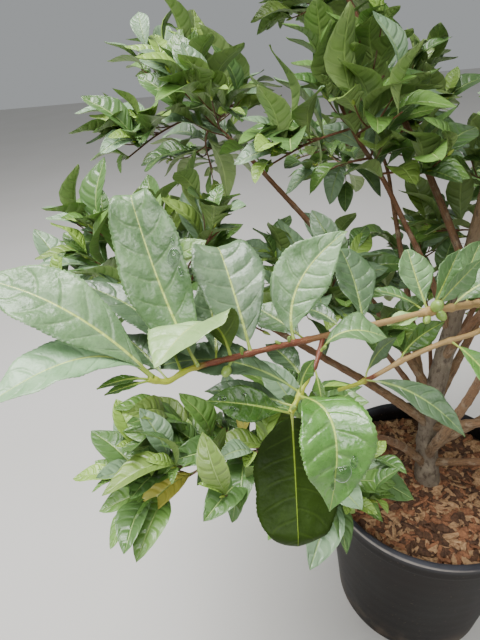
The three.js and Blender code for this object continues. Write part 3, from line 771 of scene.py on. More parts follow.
class Recipe(NodeMaker):
    """A Geometry Nodes tree with named inputs."""

    def __init__(self, name: str) -> None:
        """Starts a tree that takes and gives a geometry.

        Args:
            name: Name of the tree.
        """
        super().__init__(bpy.data.node_groups.new(name, "GeometryNodeTree"))
        for way in ("INPUT", "OUTPUT"):
            self.tree.interface.new_socket("Geometry", in_out=way, socket_type="NodeSocketGeometry")
        self.start = self.tree.nodes.new("NodeGroupInput")

    def ask(self, kind: str, *names: str) -> list[Socket]:
        """Returns new named inputs of the tree, of a socket kind such as Float."""
        for name in names:
            self.tree.interface.new_socket(name, in_out="INPUT", socket_type=f"NodeSocket{kind}")
        return [self.start.outputs[name] for name in names]

    def read(self, name: str, kind: str = "FLOAT") -> Socket:
        """Returns the value of a named attribute."""
        return self.add("GeometryNodeInputNamedAttribute", data_type=kind, Name=name).outputs["Attribute"]

    def store(self, geometry: Socket, name: str, value: Socket, kind: str, domain: str = "POINT") -> Socket:
        """Returns the geometry with a value kept as a named attribute."""
        settings = {"data_type": kind, "domain": domain, "Name": name, "Geometry": geometry, "Value": value}
        return self.add("GeometryNodeStoreNamedAttribute", **settings).outputs["Geometry"]

    def vector(self, kind: str, *values: Socket, **named: Socket) -> Socket:
        """Returns the outcome of one step on vectors."""
        node = self.add("ShaderNodeVectorMath", operation=kind, **named)
        for target, value in zip(node.inputs, values):
            self.join(value, target)
        return node.outputs["Vector"]

    def random(self, kind: str, low: object, high: object, seed: Socket | None = None) -> Socket:
        """Returns a random value for each point.

        Args:
            kind: FLOAT_VECTOR, FLOAT or INT.
            low: Lowest value.
            high: Highest value.
            seed: What it is drawn by, if not by the point alone.

        Returns:
            The value.
        """
        first = {"FLOAT_VECTOR": 0, "FLOAT": 2, "INT": 4}[kind]
        node = self.add("FunctionNodeRandomValue", data_type=kind)
        self.feed(node.inputs[first], low)
        self.feed(node.inputs[first + 1], high)
        if seed is not None:
            self.join(seed, node.inputs["Seed"])
        return node.outputs[first // 2]

    def scatter(self, points: Socket, shapes: Socket, kind: Socket, turn: Socket, size: Socket) -> Socket:
        """Returns stock shapes set on points.

        Args:
            points: The points.
            shapes: Collection of the stock shapes.
            kind: Which shape each point takes.
            turn: How it is turned.
            size: How it is scaled.

        Returns:
            The instances.
        """
        stock = self.add(
            "GeometryNodeCollectionInfo", Collection=shapes, Separate_Children=True, Reset_Children=True,
        )
        put = self.add(
            "GeometryNodeInstanceOnPoints", Points=points, Instance=stock.outputs["Instances"],
            Pick_Instance=True, Instance_Index=kind, Rotation=turn, Scale=size,
        )
        return put.outputs["Instances"]

    def real(self, geometry: Socket) -> Socket:
        """Returns the geometry with its instances made real."""
        return self.add("GeometryNodeRealizeInstances", Geometry=geometry).outputs["Geometry"]

    def coat(self, geometry: Socket, finish: Socket, *where: tuple[Socket, int]) -> Socket:
        """Returns the geometry with a material set, where each value given is the number with it."""
        chosen = None
        for value, number in where:
            node = self.add("FunctionNodeCompare", data_type="INT", operation="EQUAL")
            self.join(value, node.inputs[2])
            node.inputs[3].default_value = number
            found = node.outputs["Result"]
            if chosen is None:
                chosen = found
            else:
                both = self.add("FunctionNodeBooleanMath", operation="AND")
                self.join(chosen, both.inputs[0])
                self.join(found, both.inputs[1])
                chosen = both.outputs["Boolean"]
        node = self.add("GeometryNodeSetMaterial", Geometry=geometry, Material=finish)
        if chosen is not None:
            self.join(chosen, node.inputs["Selection"])
        return node.outputs["Geometry"]

    def close(self, geometry: Socket) -> Recipe:
        """Ends the tree with this geometry and returns it."""
        self.add("NodeGroupOutput", Geometry=geometry)
        return self

    def grow(self, name: str, source: bpy.types.Mesh, values: dict[str, object]) -> bpy.types.Mesh:
        """Runs the tree on a mesh.

        Args:
            name: Name of the new mesh.
            source: Mesh that the tree starts from; it is used up.
            values: Input values by name.

        Returns:
            A plain mesh.
        """
        carrier = bpy.data.objects.new(f"{name}_seed", source)
        bpy.context.scene.collection.objects.link(carrier)
        modifier = carrier.modifiers.new(self.tree.name, "NODES")
        modifier.node_group = self.tree
        for item in self.tree.interface.items_tree:
            if item.in_out == "INPUT" and item.name in values:
                modifier[item.identifier] = values[item.name]
        graph = bpy.context.evaluated_depsgraph_get()
        grown = carrier.evaluated_get(graph)
        data = bpy.data.meshes.new_from_object(grown, preserve_all_data_layers=True, depsgraph=graph)
        data.name = name
        bpy.data.objects.remove(carrier)
        bpy.data.meshes.remove(source)
        return data


def limb_recipe() -> Recipe:
    """Returns the tree that makes round limbs with bark relief along lines."""
    r = Recipe("limbs_along_lines")
    sides, = r.ask("Int", "Sides")
    step, ridge = r.ask("Float", "Step", "Ridge")
    finish, = r.ask("Material", "Finish")
    lines = r.add("GeometryNodeMeshToCurve", Mesh=r.start.outputs["Geometry"]).outputs["Curve"]
    fine = r.add("GeometryNodeResampleCurve", mode="LENGTH", Curve=lines, Length=step).outputs["Curve"]
    length = r.add("GeometryNodeSplineParameter").outputs["Length"]
    circle = r.add("GeometryNodeCurvePrimitiveCircle", Radius=1.0, Resolution=sides).outputs["Curve"]
    place = r.add("GeometryNodeInputPosition").outputs["Position"]
    sweep = r.add(
        "GeometryNodeCurveToMesh", Fill_Caps=True, Scale=r.read("thick"),
        Curve=r.store(fine, "along", length, "FLOAT"),
        Profile_Curve=r.store(circle, "ring", place, "FLOAT_VECTOR"),
    )
    lift = r.sum("MULTIPLY_ADD", r.read("along"), 34.0, r.times(r.read("number"), 7.3))
    ring = r.read("ring", "FLOAT_VECTOR")
    wrap = r.vector("ADD", ring, r.add("ShaderNodeCombineXYZ", Z=lift).outputs["Vector"])
    wrapped = r.store(sweep.outputs["Mesh"], "ring", wrap, "FLOAT_VECTOR")
    bark = r.add("ShaderNodeTexNoise", Vector=ring, Scale=2.6, Detail=5.0, Roughness=0.6).outputs["Fac"]
    depth = r.times(r.times(r.sum("SUBTRACT", bark, 0.5), ridge), r.read("thick"))
    normal = r.add("GeometryNodeInputNormal").outputs["Normal"]
    push = r.vector("SCALE", normal, Scale=depth)
    shifted = r.add("GeometryNodeSetPosition", Geometry=wrapped, Offset=push).outputs["Geometry"]
    smooth = r.add("GeometryNodeSetShadeSmooth", Geometry=shifted).outputs["Geometry"]
    return r.close(r.coat(r.real(smooth), finish))


def leaf_recipe() -> Recipe:
    """Returns the tree that sets leaves on points and deals out their greens."""
    r = Recipe("leaves_on_points")
    shapes, = r.ask("Collection", "Shapes")
    under, rib, *tops = r.ask("Material", "Underside", "Rib", *(f"Top {tint.name}" for tint in Tint))
    turn, size = r.read("turn", "QUATERNION"), r.read("size")
    leaves = r.scatter(r.start.outputs["Geometry"], shapes, r.read("kind", "INT"), turn, size)
    part, tint = r.read("part", "INT"), r.read("tint", "INT")
    dressed = r.coat(r.coat(r.real(leaves), under, (part, 1)), rib, (part, 2))
    for number, top in enumerate(tops):
        dressed = r.coat(dressed, top, (part, 0), (tint, number))
    return r.close(dressed)


def chip_recipe() -> Recipe:
    """Returns the tree that strews bark chips over the potting mix."""
    r = Recipe("chips_on_mix")
    shapes, = r.ask("Collection", "Shapes")
    spacing, smallest, largest = r.ask("Float", "Spacing", "Smallest", "Largest")
    seed, = r.ask("Int", "Seed")
    finishes = r.ask("Material", *(f"Chip {k}" for k in range(len(CHIPS))))
    strew = r.add(
        "GeometryNodeDistributePointsOnFaces", distribute_method="POISSON",
        Mesh=r.start.outputs["Geometry"], Distance_Min=spacing, Density_Max=60000.0, Seed=seed,
    )
    kind = r.random("INT", 0, 5, seed)
    turn = r.random("FLOAT_VECTOR", (-0.7, -0.4, 0.0), (0.7, 0.4, ANY_TURN), seed)
    angle = r.add("FunctionNodeEulerToRotation", Euler=turn).outputs["Rotation"]
    size = r.random("FLOAT", smallest, largest, seed)
    chips = r.scatter(strew.outputs["Points"], shapes, kind, angle, size)
    dressed = r.real(r.store(chips, "tint", r.random("INT", 0, 2), "INT", "INSTANCE"))
    for number, finish in enumerate(finishes):
        dressed = r.coat(dressed, finish, (r.read("tint", "INT"), number))
    return r.close(dressed)


class Shelf:
    """Stock shapes that a tree picks from, kept out of the scene."""

    def __init__(self, name: str) -> None:
        """Opens an empty shelf.

        Args:
            name: Name of the collection.
        """
        self.collection = bpy.data.collections.new(name)

    def put(self, data: bpy.types.Mesh) -> None:
        """Adds one shape, after those already there."""
        label = f"{self.collection.name}_{len(self.collection.objects):02d}"
        self.collection.objects.link(bpy.data.objects.new(label, data))

    def clear(self) -> None:
        """Takes every stock shape away again."""
        for item in list(self.collection.objects):
            data = item.data
            bpy.data.objects.remove(item)
            bpy.data.meshes.remove(data)
        bpy.data.collections.remove(self.collection)


# Pot and potting mix.


@dataclass
class Pot:
    """Round nursery pot with a rolled rim band."""

    height: float = 270
    rim: float = 146
    lip: float = 138.5
    band: float = 144.5
    band_height: float = 28
    neck: float = 140
    foot: float = 115
    wall: float = 2.6
    floor: float = 3.5
    sides: int = 144
    roll: tuple[float, float] = (4.3, 3.9)
    wall_rows: int = 30
    inner_rows: int = 12

    def profile(self) -> list[tuple[float, float]]:
        """Returns the section from the middle of the underside round to the inside floor."""
        band = self.height - self.band_height
        points = [(0.0, 0.0), (40, 0.0), (92, 0.0), (100, 0.0), (104, 1.6), (107, 1.6), (110, 0.0)]
        points += [(self.foot + out, rise) for out, rise in ((-2.4, 0.0), (-0.6, 0.7), (0.1, 2.6))]
        for k in range(1, self.wall_rows):
            share = k / self.wall_rows
            ripple = 0.12 * math.sin(share * 60)
            points.append((self.foot + (self.neck - self.foot) * share + ripple, 3 + (band - 7) * share))
        points += [(self.neck, band - 4), (self.neck + 0.5, band - 1.8), (self.band - 0.5, band - 0.5)]
        ribs = ((0.1, 0.6), (0.3, 5), (0.1, 8), (0.4, 12))
        points += [(self.band + out, band + rise) for out, rise in ribs]
        points += [(self.band + 0.6, self.height - 8.4), (self.rim + 0.6, self.height - 6.4)]
        wide, tall = self.roll
        middle = (self.rim + self.lip) / 2 + 1.0
        for k in range(1, 12):
            angle = math.radians(-30 + 20 * k)
            points.append((middle + wide * math.cos(angle), self.height - tall + tall * math.sin(angle)))
        points += [(self.lip + 0.2, self.height - 7), (self.lip - 0.3, self.height - 14)]
        points.append((self.neck - self.wall, band - 4))
        for k in range(1, self.inner_rows):
            share = 1 - k / self.inner_rows
            radius = self.foot - self.wall + (self.neck - self.foot) * share
            points.append((radius, self.floor + (band - 4 - self.floor) * share))
        return points + [(self.foot - self.wall - 1, self.floor), (60, self.floor), (0.0, self.floor)]

    def build(self) -> None:
        """Makes the pot and stands it in for its node."""
        points = self.profile()
        corners = [(0.0, 0.0, points[0][1])]
        inner = points[1:-1]
        for radius, height in inner:
            for k, (east, north) in enumerate(rounds(self.sides)):
                angle = 2 * math.pi * k / self.sides
                sway = 0.35 * math.sin(2 * angle + 0.6) + 0.2 * math.sin(5 * angle)
                worn = radius + sway * min(height / self.height, 1)
                corners.append((worn * east, worn * north, height))
        corners.append((0.0, 0.0, points[-1][1]))
        faces = [tuple(1 + i for i in face) for face in grid_faces(len(inner), self.sides, True)]
        last = len(corners) - 1
        start = last - self.sides
        for k in range(self.sides):
            n = (k + 1) % self.sides
            faces += [(0, 1 + n, 1 + k), (last, start + k, start + n)]
        shape = Shape()
        shape.take(corners, faces)
        settle(shape.mesh("nursery_pot", [PLASTIC]), ["pot"])


@dataclass
class PottingMix:
    """Potting mix under a layer of bark chips."""

    radius: float = 134.6
    level: float = 243
    crown: float = 4
    foot: float = 111.0
    floor: float = 4
    rings: int = 26
    sides: int = 72
    trunk: tuple[float, float] = (4, 3)
    heap: tuple[float, float] = (4, 30)
    chip_spacing: float = 3.9
    chip_sizes: tuple[float, float] = (0.008, 0.027)
    chip_kinds: int = 6
    chip_rows: int = 4

    def rise(self, x: float, y: float) -> float:
        """Returns the height of the surface over a point."""
        share = math.hypot(x, y) / self.radius
        mound = self.crown * (1 - min(share, 1) ** 2)
        near = math.hypot(x - self.trunk[0], y - self.trunk[1])
        heap = self.heap[0] * math.exp(-((near / self.heap[1]) ** 2))
        coarse = 2.6 * noise.noise(Vector((x * 0.035, y * 0.035, 1.7)))
        rough = coarse + 1.4 * noise.noise(Vector((x * 0.11, y * 0.11, 5.1)))
        return self.level + mound + heap + rough * (1 - 0.6 * share)

    def surface(self, radius: float) -> tuple[list, list]:
        """Returns corners and faces of the top.

        Args:
            radius: Radius of the outer ring.

        Returns:
            The corners and the faces, the middle corner first.
        """
        corners = [(0.0, 0.0, self.rise(0, 0))]
        for i in range(1, self.rings + 1):
            reach = radius * i / self.rings
            ring = [(reach * x, reach * y) for x, y in rounds(self.sides)]
            corners += [(x, y, self.rise(x, y)) for x, y in ring]
        faces = [tuple(1 + i for i in face)[::-1] for face in grid_faces(self.rings, self.sides, True)]
        faces += [(0, 1 + k, 1 + (k + 1) % self.sides) for k in range(self.sides)]
        return corners, faces

    def chip(self, dice: Dice) -> bpy.types.Mesh:
        """Returns one splintered chip about a metre long, to be scaled."""
        corners = []
        long = dice.between(0.8, 1.2)
        for i in range(self.chip_rows):
            share = i / (self.chip_rows - 1)
            width = (0.06 + 0.13 * math.sin(math.pi * (0.15 + 0.7 * share))) * dice.between(0.7, 1.4)
            thick = 0.055 * dice.between(0.7, 1.4)
            bend = 0.12 * math.sin(2.2 * share + dice.between(0, 1))
            lower = ((-width, -thick), (width, -0.7 * thick))
            upper = ((0.7 * width, thick), (-0.8 * width, 0.8 * thick))
            for y, z in lower + upper:
                side = y + bend + dice.between(-0.04, 0.04)
                corners.append((long * (share - 0.5), side, z + dice.between(-0.03, 0.03) + 0.06))
        data = bpy.data.meshes.new("chip")
        data.from_pydata(corners, [], tube_faces(self.chip_rows, 4))
        return data

    def build(self) -> None:
        """Makes the bed and strews the chips."""
        top, faces = self.surface(self.radius)
        outer = len(top) - self.sides
        low, last = len(top), len(top) + self.sides
        top += [(self.foot * x, self.foot * y, self.floor) for x, y in rounds(self.sides)]
        top.append((0.0, 0.0, self.floor))
        for k in range(self.sides):
            n = (k + 1) % self.sides
            faces += [(outer + k, low + k, low + n, outer + n), (last, low + n, low + k)]
        bed = Shape()
        bed.take(top, faces)
        settle(bed.mesh("mix_bed", [CHIPS[2]]), ["potting_mix"])
        shelf, dice = Shelf("chip_stock"), Dice(71)
        for _ in range(self.chip_kinds):
            shelf.put(self.chip(dice))
        corners, skin = self.surface(self.radius - 8)
        ground = bpy.data.meshes.new("chip_ground")
        ground.from_pydata((np.array(corners) * MM).tolist(), [], skin)
        values = {"Shapes": shelf.collection, "Spacing": self.chip_spacing * MM, "Seed": 5}
        values["Smallest"], values["Largest"] = self.chip_sizes
        for k, finish in enumerate(CHIPS):
            values[f"Chip {k}"] = finish.material()
        settle(chip_recipe().grow("bark_chips", ground, values), ["potting_mix"])
        shelf.clear()


# Trunk and boughs.


@dataclass
class Lines:
    """Lines of a set of limbs, with what each point carries."""

    corners: list = field(default_factory=list)
    edges: list = field(default_factory=list)
    marks: dict = field(default_factory=dict)

    def lay(self, points: np.ndarray, **marks: np.ndarray) -> None:
        """Adds one line.

        Args:
            points: Its points in millimetres.
            **marks: A number for each point, by attribute name.
        """
        first = len(self.corners)
        self.corners.extend(np.asarray(points).tolist())
        self.edges.extend([(first + i, first + i + 1) for i in range(len(points) - 1)])
        for name, values in marks.items():
            self.marks.setdefault(name, []).extend(np.broadcast_to(values, len(points)).tolist())

    def mesh(self) -> bpy.types.Mesh:
        """Returns the lines as a mesh of edges in metres."""
        data = bpy.data.meshes.new("lines")
        data.from_pydata((np.array(self.corners) * MM).tolist(), self.edges, [])
        for label, values in self.marks.items():
            mark(data, label, "FLOAT", np.array(values, np.float32))
        return data


@dataclass(frozen=True)
class Limb:
    """A limb through points, with its radius along it."""

    name: str
    points: tuple
    radii: tuple

    def line(self) -> Line:
        """Returns the limb's line."""
        return Line(list(self.points))

    def stations(self, count: int) -> tuple[np.ndarray, np.ndarray]:
        """Returns points and radii evenly spaced along the limb."""
        line, shares = self.line(), np.linspace(0, 1, count + 1)
        radii = np.interp(shares * (len(self.radii) - 1), range(len(self.radii)), self.radii)
        return np.array([line.at(share) for share in shares]), radii


TRUNK = Limb(
    "trunk",
    (
        (4, 3, 232), (3, 2, 246), (0, 3, 270), (-6, 6, 330), (-4, 12, 420),
        (6, 18, 520), (14, 22, 640), (18, 22, 735), (20, 27, 808),
    ),
    (19, 14.5, 12.5, 11.5, 9.5, 8, 6, 4.6, 3.2),
)

BOUGHS = (
    Limb(
        "front", ((-3, 4, 300), (-14, -50, 402), (-22, -100, 512), (-36, -138, 606), (-50, -152, 640)),
        (7, 3),
    ),
    Limb("left_low", ((-3, 4, 280), (-48, -23, 346), (-92, -60, 407), (-141, -101, 463)), (6.5, 2.8)),
    Limb("left", ((-6, 8, 356), (-88, -4, 438), (-176, -14, 515), (-232, -16, 562)), (6.5, 2.8)),
    Limb("rear_left", ((-5, 11, 400), (-63, 52, 495), (-127, 93, 587), (-201, 125, 674)), (6, 2.8)),
    Limb("rear", ((-6, 7, 338), (-10, 80, 440), (-15, 160, 548), (-18, 205, 606)), (6.5, 2.8)),
    Limb("rear_right", ((-5, 9, 380), (55, 62, 452), (112, 109, 531), (177, 160, 600)), (6, 2.8)),
    Limb("right", ((-4, 5, 312), (69, -7, 380), (141, -18, 450), (215, -28, 518)), (6.5, 2.8)),
    Limb("right_low", ((-1, 3, 286), (39, -33, 321), (82, -65, 355), (130, -93, 388)), (5.5, 2.8)),
    Limb("front_right", ((-6, 8, 350), (38, -68, 428), (92, -146, 506), (124, -188, 550)), (6, 2.8)),
    Limb("front_top", ((0, 15, 462), (0, -23, 528), (1, -63, 594), (5, -106, 656)), (5, 2.5)),
    Limb("top_right", ((7, 19, 542), (66, 30, 620), (126, 44, 696), (148, 50, 724)), (5, 2.5)),
    Limb("heart", ((1, 15, 442), (27, 31, 492), (51, 46, 542)), (5, 2.5)),
    Limb("mid_left", ((3, 17, 500), (-29, 23, 574), (-66, 31, 645)), (5, 2.5)),
    Limb("top_rear", ((10, 20, 582), (-28, 68, 680), (-72, 118, 776), (-88, 134, 812)), (4.6, 2.5)),
    Limb("low_rear", ((0, 3, 300), (12, 46, 360), (18, 90, 418)), (5.5, 2.6)),
    Limb("inner_left", ((-5, 10, 372), (-40, 26, 424), (-76, 40, 474)), (5, 2.6)),
)


@dataclass
class Limbs:
    """Trunk and main boughs, with bark relief, joints and collars."""

    point_spacing: float = 2.5
    joint_spacing: float = 27
    joint_width: float = 2.2
    joint_swell: float = 0.1
    trunk_swell: float = 0.025
    collar: float = 0.4
    collar_reach: float = 17

    def lay(self, lines: Lines, limb: Limb, number: int) -> None:
        """Adds one limb with its swellings.

        Args:
            lines: Lines to add to.
            limb: The limb.
            number: A number of its own, so that its bark differs.
        """
        length = limb.line().length
        points, radii = limb.stations(int(length / self.point_spacing))
        lengths = np.linspace(0, 1, len(points)) * length
        beyond = lengths % self.joint_spacing - self.joint_spacing / 2
        swell = np.exp(-(beyond / self.joint_width) ** 2)
        if limb is TRUNK:
            radii = radii * (1 + self.trunk_swell * swell)
        else:
            collar = self.collar * np.exp(-((lengths / self.collar_reach) ** 2))
            radii = radii * (1 + self.joint_swell * swell + collar)
        lines.lay(points, thick=radii * MM, number=float(number))

    def build(self, recipe: Recipe) -> None:
        """Makes the trunk and the boughs.

        Args:
            recipe: Tree that makes limbs along lines.
        """
        trunk, boughs = Lines(), Lines()
        self.lay(trunk, TRUNK, 0)
        for number, limb in enumerate(BOUGHS, 1):
            self.lay(boughs, limb, number)
        values = {"Sides": 40, "Step": 0.0022, "Ridge": 0.42, "Finish": BARK.material()}
        settle(recipe.grow("trunk_bark", trunk.mesh(), values), ["trunk"])
        values.update(Sides=20, Step=0.0028, Ridge=0.34)
        names = [f"bough_{limb.name}" for limb in BOUGHS]
        settle(recipe.grow("bough_bark", boughs.mesh(), values), names)


# Crown.


@dataclass(frozen=True)
class Mass:
    """One mass of leaves: a rounded space about its middle."""

    name: str
    middle: tuple[float, float, float]
    reach: tuple[float, float, float]
    seed: int


MASSES = (
    Mass("left_low", (-255, -140, 490), (150, 120, 100), 33),
    Mass("left", (-310, 0, 610), (165, 150, 135), 3),
    Mass("rear_left", (-260, 155, 735), (165, 155, 145), 8),
    Mass("rear", (-30, 270, 680), (170, 155, 145), 20),
    Mass("rear_right", (220, 200, 650), (170, 160, 140), 6),
    Mass("right", (300, -40, 590), (165, 165, 140), 12),
    Mass("right_low", (195, -165, 440), (150, 140, 100), 7),
    Mass("front_right", (165, -225, 625), (155, 150, 140), 5),
    Mass("heart", (80, 70, 625), (130, 125, 125), 43),
    Mass("mid_left", (-120, 40, 735), (130, 130, 125), 14),
    Mass("front_top", (15, -150, 780), (140, 140, 130), 14),
    Mass("top_right", (200, 40, 790), (155, 155, 135), 4),
    Mass("top", (20, 40, 900), (140, 135, 100), 53),
    Mass("top_rear", (-125, 165, 880), (150, 145, 110), 12),
    Mass("low_rear", (20, 160, 500), (145, 125, 105), 38),
    Mass("inner_left", (-150, 60, 540), (140, 125, 110), 25),
)
FRONT_MIDDLE = (-200, -245, 680)


@dataclass(frozen=True)
class Viewer:
    """The side the bush is looked at from: an eye, and its right, up and near."""

    eye: tuple = (-250, -460, 840)
    right: tuple = (0.9962, -0.0462, -0.0739)
    rise: tuple = (0.0872, 0.5279, 0.8448)
    near: tuple = (0, -0.848, 0.5299)
    depth: float = 370
    half_width: float = 0.56
    half_height: float = 0.72
    focal: float = 481

    def seen(self, root: tuple, offset: tuple) -> np.ndarray:
        """Returns the point at right, up and near of the viewer, counted from a root."""
        axes = np.array([self.right, self.rise, self.near])
        return np.array(root, float) + np.array(offset, float) @ axes

    def in_niche(self, points: np.ndarray) -> np.ndarray:
        """Returns which points lie in the space kept free before the near branch."""
        d = points - np.array(self.eye)
        depth = -d @ np.array(self.near)
        side = np.abs(d @ np.array(self.right))
        height = np.abs(d @ np.array(self.rise))
        inside = (depth > 0) & (depth < self.depth)
        return inside & (side < self.half_width * depth) & (height < self.half_height * depth)


VIEWER = Viewer()


@dataclass
class Twig:
    """A twig through points, with its radius, its order and where it leaves its parent."""

    points: list
    radii: tuple[float, float]
    order: int
    parent: int | None = None
    spot: float = 0.0


@dataclass
class CrownLeaf:
    """A leaf or bud of the crown: how it stands, where on its twig, and what it is dealt."""

    root: np.ndarray
    along: np.ndarray
    up: np.ndarray
    size: float = 0.35
    tip: float = 0.0
    spot: float = 0.0
    length: float = 0.0
    lot: float = 0.0
    twig: int = 0
    kind: int = 0
    tint: Tint = Tint.FRESH


TINT_SHARES = {
    Tint.GREY_GREEN: 0.26,
    Tint.DEEP: 0.34,
    Tint.LEAF: 0.27,
    Tint.OLIVE: 0.09,
    Tint.FRESH: 0.034,
}
LEAF_SAMPLES = (
    (0.1, 0, 0), (0.34, 0.95, 0.06), (0.34, -0.95, 0.06), (0.7, 0.8, 0.04), (0.7, -0.8, 0.04),
    (0.5, 0, 0.03), (1, 0, -0.08),
)
LEAF_BENDS = (
    (0.14, 0.34, 0.2, 0.008), (0.24, 0.26, -0.3, 0.014), (0.1, 0.42, -0.12, 0.01),
    (0.32, 0.3, 0.25, 0.012), (0.2, 0.22, 0.1, 0.02), (0.16, 0.38, -0.25, 0.006),
)


@dataclass
class Crown:
    """The masses of leaves, grown by the source's rule and carried on to finer twigs."""

    side_twigs: int = 7
    leader_radius: float = 2.9
    twig_radius: float = 1.35
    sprig_radius: float = 0.85
    sprigs: int = 5
    sprig_lengths: tuple[float, float] = (34, 62)
    twig_step: float = 6
    twig_beyond: float = 5
    shoot_limit: float = 14
    seed_factor: int = 7919
    leaf_length: float = 76
    leaf_spacing: float = 10.5
    leaf_apart: float = 13
    leaf_half: float = 0.21
    leaves_each: int = 190
    last_kind: float = 5.999
    clearance: float = 5
    twig_clearance: float = 3
    margin: float = 0.8
    reach_limit: float = 1.2
    shade_height: float = 480
    sun_height: float = 800
    fresh_shares: tuple[float, float] = (0.05, 0.4)
    young_lengths: tuple[float, float] = (18, 34)
    bud_lengths: tuple[float, float] = (7, 11)
    limbs: dict = field(default_factory=dict)

    def __post_init__(self) -> None:
        """Lays out the limbs that leaves keep clear of."""
        self.limbs["trunk"] = TRUNK.stations(10)
        for limb in BOUGHS:
            self.limbs[limb.name] = limb.stations(6)
        starts, ends, radii = [], [], []
        for points, widths in self.limbs.values():
            starts.extend(points[:-1])
            ends.extend(points[1:])
            radii.extend(widths[:-1])
        self.starts, self.ends, self.widths = np.array(starts), np.array(ends), np.array(radii)
        self.middles = {mass.name: np.array(mass.middle, float) for mass in MASSES}
        self.middles["front"] = np.array(FRONT_MIDDLE, float)

    def inside_cell(self, points: np.ndarray, name: str) -> np.ndarray:
        """Returns which points lie nearer to the mass's own middle than to any other."""
        own = self.middles[name]
        inside = np.ones(len(points), bool)
        for other, middle in self.middles.items():
            if other != name:
                normal = middle - own
                half = np.linalg.norm(normal) / 2
                inside &= (points - own) @ (normal / (2 * half)) <= half - self.margin
        return inside

    def inside_reach(self, points: np.ndarray, mass: Mass) -> np.ndarray:
        """Returns which points lie within the mass's rounded space."""
        d = (points - np.array(mass.middle)) / np.array(mass.reach)
        return np.sum(d * d, axis=1) < self.reach_limit

    def limb_distance(self, points: np.ndarray) -> np.ndarray:
        """Returns each point's distance to the nearest limb's surface."""
        along = self.ends - self.starts
        d = points[:, None, :] - self.starts[None]
        share = np.clip(np.einsum("pij,ij->pi", d, along) / np.sum(along * along, axis=1), 0, 1)
        foot = d - share[:, :, None] * along[None]
        return np.min(np.linalg.norm(foot, axis=2) - self.widths, axis=1)

    def start(self, name: str) -> tuple[np.ndarray, np.ndarray]:
        """Returns where a mass begins at its limb's tip, and the way it heads."""
        points, _ = self.limbs["trunk" if name == "top" else name]
        heading = unit(points[-1] - points[-2])
        return points[-1] - 0.5 * heading, heading

    def twigs_of(self, mass: Mass, dice: Dice) -> list[Twig]:
        """Returns the leader and the side twigs of a mass, as the source grows them.

        Args:
            mass: The mass.
            dice: Its numbers.

        Returns:
            The twigs.
        """
        start, heading = self.start(mass.name)
        middle, reach = np.array(mass.middle, float), np.array(mass.reach, float)
        span = middle - start
        ahead = unit(span)
        goal = middle + ahead * reach * 0.5
        goal[2] += 0.1 * reach[2]
        bend = start + heading * 0.45 * np.linalg.norm(span)
        leader = Line([start, bend, middle, goal])
        twigs = [Twig([start, bend, middle, goal], (self.leader_radius, 0.6 * self.leader_radius), 0)]
        for k in range(self.side_twigs):
            height = 0.9 - (1.7 * (k + 0.5)) / self.side_twigs
            azimuth = SPIRAL * k + dice.between(-0.3, 0.3)
            flat = math.sqrt(1 - height * height)
            out = np.array([flat * math.cos(azimuth), flat * math.sin(azimuth), height])
            end = middle + out * reach * dice.between(0.58, 0.76)
            u = 0.55 + 0.3 * float(out @ ahead) + dice.between(-0.05, 0.05)
            origin = leader.at(u)
            length = float(np.linalg.norm(end - origin))
            elbow = (origin + end) / 2 + leader.heading(u) * 0.1 * length
            elbow[2] -= 0.06 * length
            radii = (self.twig_radius, 0.7 * self.twig_radius)
            twigs.append(Twig([origin, elbow, end], radii, 1, 0, u * leader.length))
        return twigs

    def sprigs_on(self, parent: int, twig: Twig, mass: Mass, dice: Dice) -> list[Twig]:
        """Returns finer twigs that branch from a twig.

        Args:
            parent: Which twig it is.
            twig: The twig.
            mass: Its mass.
            dice: Its numbers.

        Returns:
            The finer twigs.
        """
        line = Line(twig.points)
        found = []
        turn = dice.between(0, ANY_TURN)
        for k in range(self.sprigs):
            u = 0.35 + 0.5 * (k + dice.roll()) / self.sprigs
            origin, axis = line.at(u), line.heading(u)
            turn += SPIRAL
            spread = np.array([math.cos(turn), math.sin(turn), 0.35])
            outward = unit(origin - np.array(mass.middle))
            way = unit(0.9 * spread + 0.7 * axis + 0.5 * outward)
            length = dice.between(*self.sprig_lengths)
            end = origin + way * length + np.array([0, 0, 0.16 * length])
            elbow = origin + way * 0.5 * length
            radii = (self.sprig_radius, 0.75 * self.sprig_radius)
            found.append(Twig([origin, elbow, end], radii, 2, parent, u * line.length))
        return found

    def trimmed(self, twig: Twig, mass: Mass) -> np.ndarray | None:
        """Returns the twig's points up to where it would leave its space or touch a limb."""
        line = Line(twig.points)
        count = max(int(line.length / self.twig_step), 4)
        points = np.array([line.at(s) for s in np.linspace(0, 1, count + 1)])
        free = self.inside_cell(points, mass.name) & ~VIEWER.in_niche(points)
        if twig.order > 0:
            free &= self.limb_distance(points) > self.twig_clearance
        if twig.order > 1:
            free &= self.inside_reach(points, mass)
        stop = len(free) if free.all() else int(np.argmin(free))
        return points[:stop] if stop > 2 else None

